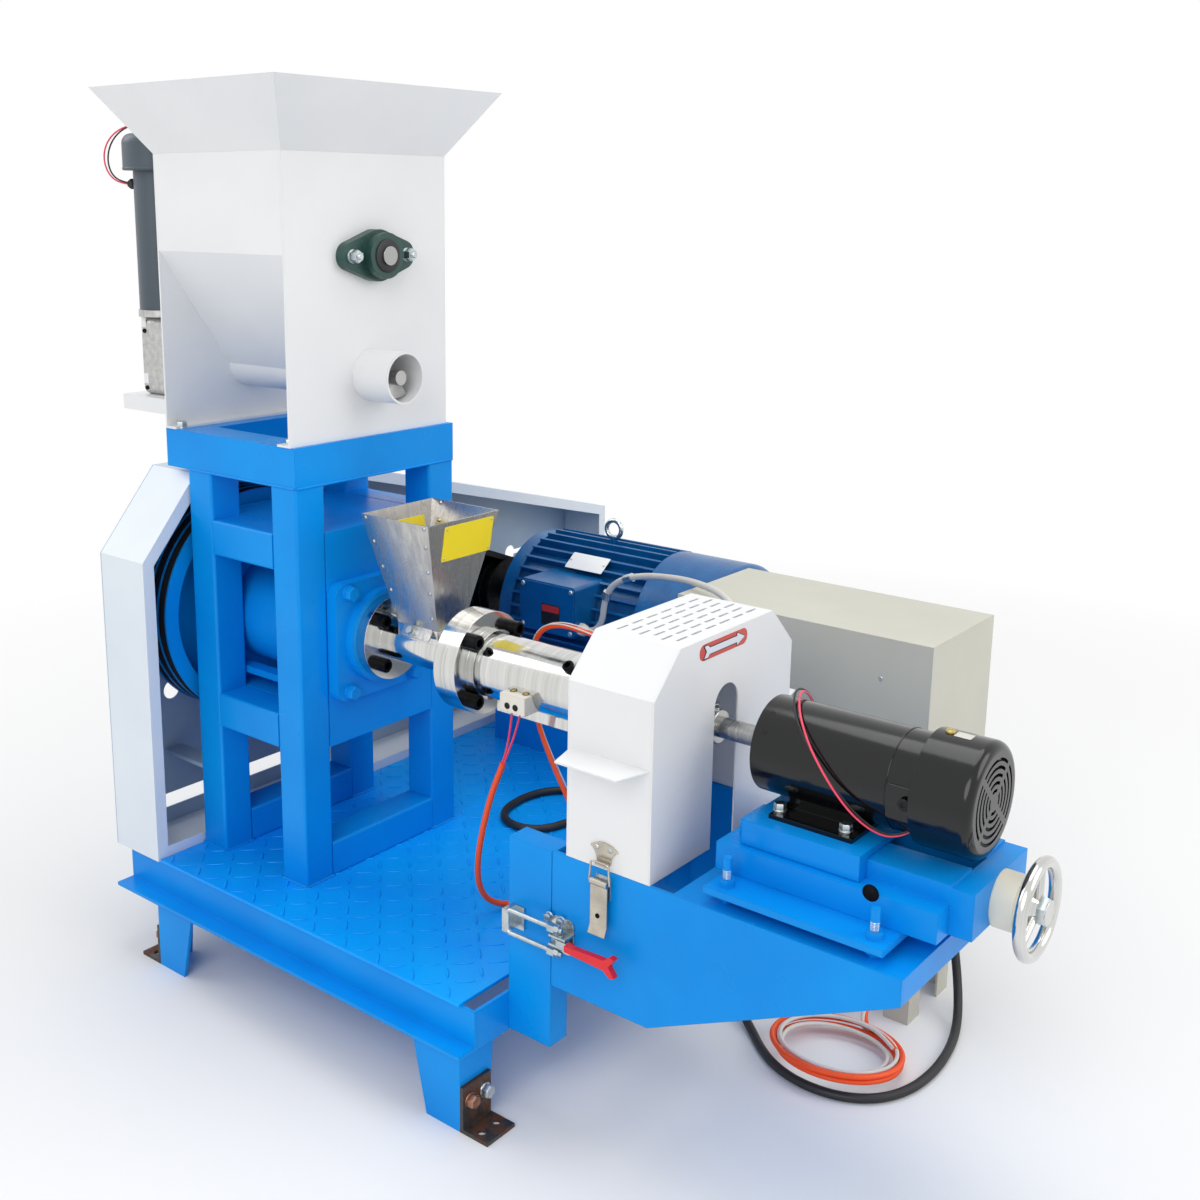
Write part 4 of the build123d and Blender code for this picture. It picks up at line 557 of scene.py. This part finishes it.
def bentPlate(x, angles, radius, thickness, corner, centre=(axisY, axisZ)):
    # a rounded plate wrapped round a cylinder along X: across it Y becomes an angle
    reach = np.radians(angles[1] - angles[0]) * radius
    ring = roundedOutline(x[1] - x[0], reach, corner, 8)
    rise = np.array([0.0, thickness * 0.7, thickness])[:, None]
    flat = ring[None] * np.array([1.0, 1.0, 0.97])[:, None, None]
    angle = np.radians(np.mean(angles)) + flat[..., 1] / radius
    y = centre[0] + (radius + rise) * np.cos(angle)
    z = centre[1] + (radius + rise) * np.sin(angle)
    return skin(np.stack([np.mean(x) + flat[..., 0], y, z], -1))


# Cords: each route's points are its spline's control points

heaterLead = {
    "diameter": 8.0,
    "length": 0.75,
    "pinkRun": 74,
    "overlap": 12,
    "sleeveRadius": 4.0,
    "leadRadius": 1.35,
    "spread": (5.4, 1.6),
    "spreadRun": 60,
    "leadTurns": 2.0,  # turns a metre
    "leadStarts": (-1.2, math.pi - 1.2),
    "route": [
        (303, 86, 308), (301, 84, 290), (295, 82, 262), (283, 81, 228), (268, 80, 192), (254, 80, 145),
        (243, 81, 96), (235, 89, 54), (234, 106, 22), (243, 131, 6), (259, 162, 4.5), (281, 194, 4.5),
        (303, 230, 4.5), (318, 272, 4.5), (324, 318, 4.5), (325, 364, 5), (327, 402, 14), (333, 436, 34),
        (340, 462, 62), (342, 475, 92), (342, 478, 116),
    ],
}
sensorLead = {
    "diameter": 7.0,
    "length": 0.90,
    "sleeveRadius": 3.1,
    "leadRadius": 0.9,
    "wander": (4.3, 0.7, 60),  # offset, swing, run
    "leadTurns": 1.1,
    "leadStarts": (2.4, 3.6),
    "route": [
        (430, 171, 358), (426, 183, 363), (413, 197, 369), (388, 206, 374), (352, 207, 380), (314, 206, 385),
        (278, 206, 386), (249, 206, 377), (232, 206, 354), (228, 206, 318), (230, 206, 280), (239, 206, 243),
        (254, 206, 210), (272, 207, 177), (291, 209, 143), (309, 213, 108), (324, 219, 73), (334, 230, 40),
        (340, 252, 15), (344, 286, 4.3), (346, 326, 4), (345, 366, 9), (345, 400, 25), (347, 440, 31),
        (350, 472, 53), (351, 494, 79), (351, 503, 100), (351, 504, 116),
    ],
}
motorConduit = {
    "diameter": 10.0,
    "length": 0.54,
    "route": [
        (39, 560, 250), (55, 560, 250), (75, 557, 258), (88, 553, 277), (93, 549, 302), (102, 546, 328),
        (124, 542, 349), (156, 536, 363), (194, 528, 373), (234, 517, 380), (276, 502, 386), (318, 485, 389),
        (358, 467, 388), (390, 450, 378), (408, 441, 354), (414, 439, 324), (417, 446, 298), (419, 463, 284),
    ],
}
supplyCable = {
    "diameter": 12.0,
    "length": 1.87,
    "route": [
        (340, 530, 116), (338, 529, 88), (328, 525, 52), (304, 518, 22), (266, 511, 9), (222, 507, 7),
        (170, 506, 6.2), (118, 504, 6.2), (78, 490, 6.2), (52, 462, 6.2), (41, 428, 6.2), (41, 396, 6.2),
        (47, 364, 6.2), (64, 340, 6.2), (91, 329, 6.2), (119, 334, 6.2), (140, 354, 6.2), (148, 386, 6.2),
        (159, 420, 6.2), (184, 445, 6.2), (222, 456, 6.2), (266, 453, 6.2), (318, 434, 6.2), (366, 412, 9),
        (404, 396, 2), (432, 382, -30), (450, 368, -74), (468, 352, -116), (496, 332, -143), (528, 308, -149.8),
        (558, 280, -149.8), (592, 258, -149.8), (636, 247, -149.8), (684, 254, -149.8), (722, 280, -149.8),
        (744, 322, -149.8), (751, 372, -149.8), (748, 424, -149.8), (738, 474, -149.8), (724, 516, -141),
        (708, 546, -112), (692, 564, -70), (676, 578, -22), (662, 590, 30), (654, 597, 76), (651, 600, 116),
    ],
}
cutterLead = {
    "diameter": 5.0,
    "length": 0.38,
    "apart": 1.6,
    "route": [
        (818, 97, 299), (809, 91, 293), (792, 82, 294), (769, 74, 309), (747, 70, 332), (727, 71, 354),
        (709, 77, 372), (691, 90, 389), (676, 110, 400), (665, 132, 404), (659, 155, 400), (657, 176, 387),
        (657, 191, 366), (660, 199, 340), (666, 202, 315), (674, 197, 297), (680, 191, 285.5),
    ],
}
feederLead = {
    "diameter": 6.0,
    "length": 0.15,
    "apart": 1.7,
    "route": [
        (-424, 72, 948), (-436, 62, 950), (-447, 53, 960), (-452, 49, 979), (-450, 51, 1000), (-440, 59, 1019),
        (-424, 73, 1031), (-409, 85, 1031), (-399, 93, 1019),
    ],
}
leadPair = {"leadRadius": 1.2, "together": 1.25, "leadTurns": 3.0, "leadStarts": (0.6, 0.6 + math.pi)}
coilLead = {
    "diameter": 7.0,
    "centre": (640, 325, -135),
    "tilt": 6.0,
    "turns": [(90, -4.0, -3, -4), (68, -1.0, 5, 2), (86, 4.5, 3, -5), (76, 6.0, -3, 2)],  # radius, rise, shift
    "oval": (3.0, 0.8),
    "pointsPerTurn": 12,
    "turnCount": 3.2,
    "whiteRadius": 2.6,
    "whitePlace": [(7.6, 2.6, 110), (2.2, 2.6, 85)],  # inward, then up: middle, swing, run
    "route": [
        (600, 520, 116), (600, 519, 92), (602, 514, 52), (607, 506, 2), (613, 494, -48), (620, 474, -92),
        (628, 444, -122),
    ],
}


def routeCurve(name, route):
    data = bpy.data.curves.new(name, "CURVE")
    data.dimensions = "3D"
    data.resolution_u = 10
    spline = data.splines.new("NURBS")
    spline.points.add(len(route) - 1)
    spline.points.foreach_set("co", np.column_stack([at(route), np.ones(len(route))]).ravel())
    spline.order_u = 3
    spline.use_endpoint_u = True
    return data


def smoothLine(name, route):  # the points that a route's own spline passes, in machine millimetres
    holder = newObject(name, routeCurve(name, route))
    mesh = bpy.data.meshes.new_from_object(holder)
    line = np.empty(len(mesh.vertices) * 3, np.float32)
    mesh.vertices.foreach_get("co", line)
    bpy.data.objects.remove(holder)
    bpy.data.meshes.remove(mesh)
    return (line.reshape(-1, 3).astype(float) - homeCorner) * 1000


def declare(piece, nodes=()):
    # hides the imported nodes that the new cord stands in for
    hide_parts(*nodes)


def plainCord(name, cord, finish, node):
    data = routeCurve(name, cord["route"])
    data.bevel_depth = cord["diameter"] / 2000
    data.bevel_resolution = 4
    data.use_fill_caps = True
    data.materials.append(looks[finish])
    piece = newObject(name, data)
    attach(piece, "root")
    declare(piece, nodes=(node,))


def leadsOf(line, look, offset, colours, sides=8):
    # thin leads at an offset from a line, each going round it from its own start
    return [(strand(line, look["leadRadius"], offset, look["leadTurns"], start, sides), colour)
            for start, colour in zip(look["leadStarts"], colours)]


def makeHeaterLead():
    # two pink leads leave the terminal apart, meet, and go on in one orange sleeve
    look = heaterLead
    line = smoothLine("heaterRoute", look["route"])
    run = runOf(line)
    pink, sleeve = line[run < look["pinkRun"] + look["overlap"]], line[run > look["pinkRun"]]
    spread = np.interp(runOf(pink), (0, look["spreadRun"]), look["spread"])
    parts = [(strand(sleeve, look["sleeveRadius"], sides=14), "orangeSleeve")]
    parts += leadsOf(pink, look, spread, ("pinkLead", "pinkLead"))
    declare(addPiece("heaterLead", parts), nodes=("heater_lead",))


def makeSensorLead():
    # an orange sleeve with two thin white leads, their offset a sine of the run
    look = sensorLead
    line = smoothLine("sensorRoute", look["route"])
    offset, swing, swingRun = look["wander"]
    wander = offset + swing * np.sin(runOf(line) / swingRun)
    parts = [(strand(line, look["sleeveRadius"], sides=14), "orangeSleeve")]
    parts += leadsOf(line, look, wander, ("whiteLead", "whiteLead"))
    declare(addPiece("sensorLead", parts), nodes=("sensor_lead",))


def makePair(name, cord, node, body):
    # a red and a black lead side by side, together at both ends and apart between
    line = smoothLine(name + "Route", cord["route"])
    run = runOf(line) / runOf(line)[-1]
    offset = leadPair["together"] + cord["apart"] * np.sin(np.pi * run) ** 2
    parts = leadsOf(line, leadPair, offset, ("pinkLead", "blackRubber"), 9)
    declare(addPiece(name, parts, body), nodes=(node,))


def makeCoilLead():
    # down from the box, then loose turns: radius, rise and centre drift from one turn's values to the next
    coil = coilLead
    turn = np.arange(0, coil["turnCount"], 1 / coil["pointsPerTurn"])
    columns = [np.interp(turn, np.arange(len(coil["turns"])), column) for column in zip(*coil["turns"])]
    radius, rise, shiftX, shiftY = columns
    angle = np.pi / 2 - turn * 2 * np.pi
    swell, phase = coil["oval"]
    radius = radius + swell * np.sin(angle * 2 + phase)
    x, y = radius * np.cos(angle) + shiftX, radius * np.sin(angle) + shiftY
    lean = -math.tan(math.radians(coil["tilt"])) * y
    loops = np.column_stack([x, y, rise + lean]) + coil["centre"]
    route = coil["route"] + [tuple(point) for point in loops.tolist()]
    line = smoothLine("coilRoute", route)
    run = runOf(line)
    inward = np.array(coil["centre"]) - line
    inward[:, 2] = 0
    inward /= np.linalg.norm(inward, axis=1)[:, None]
    offset, lift = [middle + swing * np.sin(run / reach) for middle, swing, reach in coil["whitePlace"]]
    white = line + inward * offset[:, None]
    white[:, 2] += lift
    leads = addPiece("coilWhiteLeads", [(strand(white, coil["whiteRadius"]), "whiteLead")])
    sleeve = addPiece("coilLead", [(strand(line, coil["diameter"] / 2, sides=14), "orangeSleeve")])
    declare(sleeve, nodes=("coil_lead", "floor_coil"))


makeHeaterLead()
makeSensorLead()
plainCord("motorConduit", motorConduit, "greyConduit", "motor_conduit")
plainCord("supplyCable", supplyCable, "blackRubber", "supply_cable")
makePair("cutterLead", cutterLead, "cutter_lead", "carriage_unit")
makePair("feederLead", feederLead, "feeder_lead", "root")
makeCoilLead()
print("cords made")

# Bolts, screws, plates and welds

nearSide, farSide, front, back, up = (0, -1, 0), (0, 1, 0), (1, 0, 0), (-1, 0, 0), (0, 0, 1)
tabTilt = (0, -0.86, 0.5)


def cutSheet(width, height, corner, thickness, bevel):  # a flat plate with round corners
    return plate(roundedOutline(width, height, corner), thickness, bevel)


def well(outer, inner, rise=0.5, count=20):  # a low ring with a floor sunk inside it
    return turned([(outer, 0), (outer, rise), (inner, rise + 0.1), (inner, 0.2)], count)


hubEnd, boxFront = nodeBox("handwheel")[1][0], nodeBox("control_box")[0][1]
fittings = {  # each piece: its body, then rows of shape, places, direction, finish and at times what its Y is near
    "bearingCoverBolts": ("root", [
        (hexBolt(18.0), [(18, axisY + y, axisZ + z) for y in (-60, 60) for z in (-70, 70)], front, "bluePaint"),
    ]),
    "stirrerNuts": ("root", [
        (hexNut(15.0), [(9, 100.5, 855), (9, 199.5, 855)], front, "zinc"),
        (turned([(22, 0), (22, 1.5), (20, 2.5), (12, 2.5), (12, 0.5)]), (24, 150, 855), front, "blackRubber"),
    ]),
    "binFootBolts": ("root", [
        (hexBolt(13.0), [(-250, 12, 613.5), (-20, 12, 613.5), (-20, 288, 613.5)], up, "zinc"),
    ]),
    "footBracketBolts": ("root", [
        (hexBolt(15.0), [(373, -54, -116), (373, 855, -116)], front, "zinc"),
        (hexBolt(15.0), [(-223, -54, -116), (-223, 855, -116)], back, "zinc"),
        (hexBolt(15.0), [(373, -80, -116), (373, 829, -116)], front, "copperBolt"),
        (hexBolt(15.0), [(-223, -80, -116), (-223, 829, -116)], back, "copperBolt"),
    ]),
    "catchRivets": ("cutter_guard", [
        (rivet(3.0, 1.6), [(506, -15, 226), (524, -15, 226)], nearSide, "zinc"),
        (rivet(3.0, 1.6), [(506, 279, 226), (524, 279, 226)], farSide, "zinc"),
    ]),
    # the latch holes are low wells whose dark floors are painted shade for the hollow
    "near_latchHole": ("near_latch", [(well(2.9, 1.6), (514, -23.3, 148), nearSide, "blackOxide")]),
    "far_latchHole": ("far_latch", [(well(2.9, 1.6), (514, 287.3, 148), farSide, "blackOxide")]),
    "clampBaseBolts": ("discharge_unit", [(hexBolt(9.0), [(441, -16, 120), (459, -16, 120)], nearSide, "zinc")]),
    "slideStudThreads": ("discharge_unit", [
        (stud(5.3, 10.5), [(x, y, 228.5) for x in (658, 827) for y in (11, 253)], up, "zinc"),
    ]),
    # the slide's recesses are low wells whose dark floors are painted shade for the hollow
    "slideRecess": ("discharge_unit", [
        (well(9, 7.6, 0.7, 28), (809, 36, 252), nearSide, "blackOxide"),
        (well(9, 7.6, 0.7, 28), (809, 228, 252), farSide, "blackOxide"),
    ]),
    "cutterFootBolts": ("carriage_unit", [
        (hexBolt(12.0), [(676.5, 84, 285.5), (755, 83, 285.5), (755, 181, 285.5)], up, "zinc"),
    ]),
    "hopperTab": ("root", [
        (cutSheet(52, 17, 2.5, 2.0, 0.4), (116, 103, 367), tabTilt, "stainless"),
        (hexBolt(10.0), (108, 101.3, 368), tabTilt, "zinc"),
    ]),
    "terminalLid": ("root", [
        (cutSheet(111, 81, 7, 2.2, 0.6), (-18.5, 545, 278.5), nearSide, "motorBlue"),
        (crossScrew(4.2, 2.4), [(x, 542.8, z) for x in (-68, 31) for z in (244, 313)], nearSide, "zinc"),
    ]),
    "terminalLabel": ("root", [
        (cutSheet(38, 36, 2.0, 0.6, 0.15), (-10, 542.8, 268), nearSide, "blackSatin"),
        (cutSheet(35, 11, 1.2, 0.3, 0.1), (-10, 542.2, 278.5), nearSide, "redPlate"),
    ]),
    "gearboxTags": ("root", [
        (cutSheet(11, 15, 1.0, 0.4, 0.1), [(-416, 75, 748), (-416, 75, 664)], nearSide, "whiteSheet"),
        (crossScrew(3.6, 2.2), [(-415, 75, 735), (-415, 75, 650)], nearSide, "blackOxide"),
    ]),
    "feederSeam": ("root", [
        (turned([(46.3, 0), (46.8, 0.8), (46.8, 2.6), (46.3, 3.4)], 64), (-397, 95, 968), up, "slatePaint", front),
        (turned([(6.5, 0), (6.5, 5), (5, 8), (3.6, 8)], 24, 0), (-424, 76, 948), nearSide, "blackRubber"),
    ]),
    "cutterMotorScrews": ("carriage_unit", [
        (crossScrew(5.0, 3.0), (842, 88, 303), (0, -0.8, -0.6), "zinc"),
        (crossScrew(5.5, 3.0), (840, axisY, axisZ + 62), up, "brass", front),
    ]),
    "cutterCollar": ("cutter", [  # the clamp ring that holds the knives' hub on its shaft, its bolt on top
        (turned([(19, 0), (20, 1), (20, 17), (19, 18)], 40), (552, axisY, axisZ), front, "turnedSteel"),
        (hexBolt(9.0), (561, axisY, axisZ + 19.5), up, "zinc", front),
    ]),
    "handwheelNut": ("handwheel_unit", [  # a ring round the hub's edge and the nut's corners
        (turned([(13.6, 0), (13.6, 5), (12.4, 6.4)], 32), (hubEnd - 22, 132, 241), front, "zinc"),
        (turned([(13.4, 0), (13.4, 7), (12.2, 9)], 24, 0), (hubEnd - 9.1, 132, 241), front, "zinc"),
    ]),
    "boxScrew": ("root", [(crossScrew(3.2, 1.6), (607, boxFront, 320), nearSide, "zinc")]),
}


def makeFittings():  # rows of one finish are one part of the piece
    for name, (body, rows) in fittings.items():
        shown = {}
        for shape, places, side, finish, *above in rows:
            shown.setdefault(finish, []).append(copies(shape, places, side, *above))
        addPiece(name, [(joined(*shapes), finish) for finish, shapes in shown.items()], body)


checkerPlate = {
    "length": 26.0,
    "width": 5.0,
    "rise": 1.2,
    "bevel": 0.9,
    "pitch": 30.0,
    "margin": 12.0,
    "halfOutline": [(1, 0), (0.55, 0.8), (0, 1), (-0.55, 0.8), (-1, 0)],
}


def makeCheckerPlate():
    # lozenges in a grid, each turned a quarter from its neighbour: two copies of one shape
    look = checkerPlate
    low, high = nodeBox("deck_plate")
    x = np.arange(low[0] + look["margin"], high[0] - look["margin"] + 1, look["pitch"])
    y = np.arange(low[1] + look["margin"], high[1] - look["margin"] + 1, look["pitch"])
    column, row = np.meshgrid(np.arange(len(x)), np.arange(len(y)), indexing="ij")
    half = np.array([look["length"], look["width"]]) / 2
    lozenge = plate(mirrored(look["halfOutline"]) * half, look["rise"], look["bevel"])
    shapes = []
    for parity, turn in ((0, (1, 1, 0)), (1, (1, -1, 0))):
        chosen = (column + row) % 2 == parity
        places = np.column_stack([x[column[chosen]], y[row[chosen]], np.zeros(chosen.sum())])
        shapes.append(copies(lozenge, places, up, turn))
    addPiece("checkerLozenges", [(joined(*shapes), "deckPaint")])


welds = {
    "posts": [(-225, -175), (-50, 0)],
    "rows": [(0, 50), (250, 300)],
    "rise": 0.6,
    "boxSeams": [((0, 2, 560), (0, 298, 560)), ((-222, 0, 560), (-2, 0, 560))],
    "seamRadius": 1.8,
}


def makeWelds():
    # a bead round the foot of each post, and one along two edges of the spindle box
    beads = []
    for x0, x1 in welds["posts"]:
        for y0, y1 in welds["rows"]:
            corners = [(x, y, welds["rise"]) for x, y in ((x0, y0), (x1, y0), (x1, y1), (x0, y1))]
            beads += [weldBead(start, end) for start, end in zip(corners, corners[1:] + corners[:1])]
    beads += [weldBead(start, end, welds["seamRadius"]) for start, end in welds["boxSeams"]]
    addPiece("postWelds", [(joined(*beads), "bluePaint")], sharp=60)


flangeAngles = (45, 135, 225, 315)
flangeScrews = {  # circle, place along X, then the screw's radius and height
    "rearFlangeScrews": (44, 46, 9.5, 16.0),
    "couplingScrews": (56, 218, 10.0, 18.0),
}


def makeFlangeScrews():
    for name, (circle, place, *size) in flangeScrews.items():
        screws = roundBody(flangeAngles, circle, place, socketScrew(*size), outward=False)
        addPiece(name, [(screws, "blackOxide")])


makeFittings()
makeCheckerPlate()
makeWelds()
makeFlangeScrews()
print("bolts and welds made")

# Plates on the guard, the hopper and the motor, all without lettering

hoodLabel = {
    "bar": (99.0, 19.0, 9.0, 0.5, 0.15),  # width, height, corner, thickness, bevel
    "place": (576.0, 121.5, 442.5),
    "arrow": [(43, 0), (27, 7.2), (27, 3.6), (-30, 3.6), (-34, 7), (-41, 7), (-36, 0)],
    "shadow": [(45, 0), (26, 8.6), (26, 4.8), (-29, 4.8), (-34, 8.2), (-43, 8.2), (-38, 0)],
    "print": (0.3, 0.05),
    "arrowLift": 0.25,
}
hopperWall = {"lean": 25 / 152, "farLean": 42 / 152, "front": 175, "back": 53, "near": 64, "far": 200, "top": 526}
hopperPlates = {
    "outer": (94.0, 48.0, 2.0, 0.8, 0.2),
    "outerPlace": (143.5, 496),
    "inner": (51, 27, 2, 0.8, 0.2),
    "innerPlace": (152.5, 493.5),
    "innerProud": 1.5,
    "cornerRivet": (1.6, 0.8),
    "cornerInset": 4,
}
hopperRivets = {
    "rivet": (3.0, 1.4),
    "front": (522, 496, 460, 429, 391),
    "back": (522, 489, 454, 421),
    "inset": 7.5,
    "inside": (522, 499),
    "insidePlace": 70,
    "insideProud": 1.5,
}
motorPlate = {
    "along": (-42.5, 33.5),
    "angles": (119.0, 133.8),
    "radius": 131.3,
    "rise": 0.9,
    "corner": 2.0,
    "axis": (711, 234),
    "pin": (1.8, 0.9),
    "pinInset": 4,
}


def makeHoodLabel():
    # a red bar with round ends; the arrow on it has a point, a shaft and a notched tail
    look = hoodLabel
    parts = [(copies(cutSheet(*look["bar"]), look["place"], front), "redPlate")]
    rise = look["bar"][3]
    for half, lift, finish in (("shadow", 0.0, "blackSatin"), ("arrow", look["arrowLift"], "palePlate")):
        spot = np.array(look["place"]) + (rise + lift, 0, 0)
        parts.append((copies(plate(mirrored(look[half]), *look["print"]), spot, front), finish))
    addPiece("hoodLabel", parts, "cutter_guard")


def makeHopperPlates():
    # a yellow plate on the front slope and another inside the back wall; gives the outer one's rivets
    wall, look = hopperWall, hopperPlates
    lean, top = wall["lean"], wall["top"]
    outward, inward = (1, 0, -lean), (1, 0, lean)
    across, height = look["outerPlace"]
    outer = (wall["front"] + (height - top) * lean, across, height)
    across, height = look["innerPlace"]
    inner = (wall["back"] + (top - height) * lean + look["innerProud"], across, height)
    sheets = (copies(cutSheet(*look["outer"]), outer, outward), copies(cutSheet(*look["inner"]), inner, inward))
    addPiece("hopperPlates", [(joined(*sheets), "yellowPlate")])
    half = np.array(look["outer"][:2]) / 2 - look["cornerInset"]
    flat = np.array([(x * half[0], y * half[1], look["outer"][3]) for x in (-1, 1) for y in (-1, 1)])
    return copies(rivet(*look["cornerRivet"]), flat @ facing(outward, up).T + outer, outward)


def makeHopperRivets(cornerRivets):
    # rivets down the near wall's two edges and inside the far wall, where the slopes put them
    wall, look = hopperWall, hopperRivets
    lean, farLean, top = wall["lean"], wall["farLean"], wall["top"]
    z = np.array(look["front"] + look["back"], float)
    isBack = np.repeat([False, True], [len(look["front"]), len(look["back"])])
    inset = (top - z) * lean + look["inset"]
    x = np.where(isBack, wall["back"] + inset, wall["front"] - inset)
    outside = np.column_stack([x, wall["near"] + (top - z) * farLean, z])
    z = np.array(look["inside"], float)
    farWall = wall["far"] - (top - z) * farLean - look["insideProud"]
    inside = np.column_stack([look["insidePlace"] + (top - z) * lean, farWall, z])
    dome = rivet(*look["rivet"])
    rivets = (copies(dome, outside, (0, -1, -farLean)), copies(dome, inside, (0, -1, farLean)), cornerRivets)
    addPiece("hopperRivets", [(joined(*rivets), "stainless")])


def makeMotorPlate():
    look = motorPlate
    along, angles, radius, rise = look["along"], look["angles"], look["radius"], look["rise"]
    nameplate = bentPlate(along, angles, radius, rise, look["corner"], look["axis"])
    pins = [roundBody([np.mean(angles)], radius + rise, x, rivet(*look["pin"]), look["axis"])
            for x in (along[0] + look["pinInset"], along[1] - look["pinInset"])]
    addPiece("motorNameplate", [(nameplate, "whiteSheet"), (joined(*pins), "zinc")])


makeHoodLabel()
makeHopperRivets(makeHopperPlates())
makeMotorPlate()
print("plates made")

# Cutter cover, heater and conduit trim

cutterCover = {
    "patch": ((798, 829), (166, 207), 54.4, 2.2, 4.0),  # along X, angles, radius, thickness, corner
    "plug": [(6.5, 0), (6.5, 1.6), (5.5, 2.4), (3.0, 2.4), (3.0, 1.2)],
    "plugPlace": ([184], 56.4, 820),  # angle, radius, X
    "seam": [(54.6, 0), (54.9, 0.6), (54.6, 1.4)],
    "seamPlace": 797,
    "slot": ((650, 655), (121, 151), 54.1, 0.5, 2.2),
    "sticker": ((846, 864), (84, 97), 62.2, 0.3, 1.5),
}
heaterTrim = {
    "bandScrew": (7.5, 9.0),
    "bandPlace": ([130], 42.5, 372),
    "well": (4.2, 3.2),
    "screw": (2.9, 1.0),
    "topPlaces": (295, 315),
    "sidePlaces": (297, 310),
    "sideHeight": 316,
}
conduitTrim = {
    "collar": [(9.5, 0), (9.5, 8), (8.2, 10), (6.4, 13), (5.6, 16)],
    "motorEnd": (39, 560, 250),
    "boxEnd": (419, 463, 284),
    "sleeve": [(140, 539.2, 355.6), (146, 538, 358.4), (156, 536.4, 362.4)],
    "sleeveRadius": 6.6,
    "nut": [(98, 547.6, 314), (99.6, 547, 321), (102, 546, 328)],
    "nutRadius": 7.0,
}


def makeCutterCover():
    look = cutterCover
    patch, slot, sticker = [bentPlate(*look[name]) for name in ("patch", "slot", "sticker")]
    plug = roundBody(*look["plugPlace"], turned(look["plug"], 20))
    seam = copies(turned(look["seam"], 64), (look["seamPlace"], axisY, axisZ), front)
    # the slot is a thin near-black plate on the cover: painted shade for the inside of the vent slot
    parts = [(joined(patch, seam), "blackGloss"), (joined(plug, slot), "darkPlugAndHoleShade")]
    addPiece("cutterMotorCover", parts, "carriage_unit")
    addPiece("cutterMotorSticker", [(sticker, "greyConduit")], "carriage_unit")


def makeHeaterTrim():
    look = heaterTrim
    addPiece("bandScrew", [(roundBody(*look["bandPlace"], socketScrew(*look["bandScrew"])), "blackOxide")])
    low, high = nodeBox("heater_terminal")
    top = [(x, (low[1] + high[1]) / 2, high[2]) for x in look["topPlaces"]]
    side = [(x, low[1], look["sideHeight"]) for x in look["sidePlaces"]]
    ring = well(*look["well"])
    wells = joined(copies(ring, top), copies(ring, side, nearSide))
    # the wells' near-black floors are painted shade for the inside of the terminal's holes
    addPiece("terminalTrim", [(wells, "darkPlugAndHoleShade"), (copies(crossScrew(*look["screw"]), top), "brass")])


def makeConduitCollars():
    # a hexagon collar at each end, and a short sleeve and a nut along the conduit
    look = conduitTrim
    collar = turned(look["collar"], 24, 0)
    ends = joined(copies(collar, look["motorEnd"], front), copies(collar, look["boxEnd"], nearSide))
    sleeve = strand(np.array(look["sleeve"]), look["sleeveRadius"], sides=20)
    nut = strand(np.array(look["nut"]), look["nutRadius"], sides=6)
    addPiece("conduitCollars", [(ends, "greyConduit"), (joined(sleeve, nut), "zinc")])


makeCutterCover()
makeHeaterTrim()
makeConduitCollars()
print("trim made")

# Studio

studio = {
    "floorReach": 9.0,
    "fadeStart": 1.1,
    "fadeEnd": 2.4,
    "floorTone": (0.93, 0.93, 0.93),
    "floorRough": 0.9,
    "ambient": 0.62,
    "aim": (0, 0, 0.6),
    "lamps": (  # place, size, power
        ((1.2, -3.4, 2.6), 2.6, 46),
        ((-3.2, -1.6, 2.8), 2.6, 32),
        ((3.2, 0.8, 2.2), 2.4, 36),
        ((0.0, 0.4, 4.2), 3.0, 52),
    ),
}


def showsBackground(tree):  # 1 for camera, glossy and transmission rays
    rays = addNode(tree, "ShaderNodeLightPath").outputs
    seen = mathOf(tree, "MAXIMUM", rays["Is Camera Ray"], rays["Is Glossy Ray"])
    return mathOf(tree, "MAXIMUM", seen, rays["Is Transmission Ray"])


def makeFloor():
    reach = studio["floorReach"]
    mesh = bpy.data.meshes.new("studioFloor")
    corners = [(-reach, -reach, 0), (reach, -reach, 0), (reach, reach, 0), (-reach, reach, 0)]
    mesh.from_pydata(corners, [], [(0, 1, 2, 3)])
    floor = newObject("studioFloor", mesh)
    material, tree, shader = newMaterial("studioFloor")
    setSockets(tree, shader, {"Base Color": (*linear(studio["floorTone"]), 1), "Roughness": studio["floorRough"]})
    place = addNode(tree, "ShaderNodeTexCoord").outputs["Object"]
    length = addNode(tree, "ShaderNodeVectorMath", operation="LENGTH", Vector=place).outputs["Value"]
    fade = mapped(tree, length, 0, 1, studio["fadeStart"], studio["fadeEnd"])
    blend = addNode(tree, "ShaderNodeMixShader", Fac=mathOf(tree, "MULTIPLY", fade, showsBackground(tree)))
    glow = addNode(tree, "ShaderNodeEmission", Strength=1.0)
    tree.links.new(shader.outputs[0], blend.inputs[1])
    tree.links.new(glow.outputs[0], blend.inputs[2])
    tree.links.new(blend.outputs[0], tree.nodes["Material Output"].inputs["Surface"])
    mesh.materials.append(material)


def makeLight():
    world = bpy.data.worlds.new("studioWorld")
    bpy.context.scene.world = world
    world.use_nodes = True
    tree = world.node_tree
    strength = mapped(tree, showsBackground(tree), studio["ambient"], 1.0, 0, 1)
    setSockets(tree, tree.nodes["Background"], {"Color": (1, 1, 1, 1), "Strength": strength})
    aim = Vector(studio["aim"])
    for number, (place, size, power) in enumerate(studio["lamps"]):
        data = bpy.data.lights.new(f"softLamp{number}", "AREA")
        data.shape = "DISK"
        data.size, data.energy = size, power
        holder = newObject(f"softLamp{number}", data)
        holder.location = place
        holder.rotation_euler = (aim - holder.location).to_track_quat("-Z", "Y").to_euler()


makeFloor()
makeLight()
bpy.context.scene.view_settings.view_transform = "Standard"
print("floor and light set")
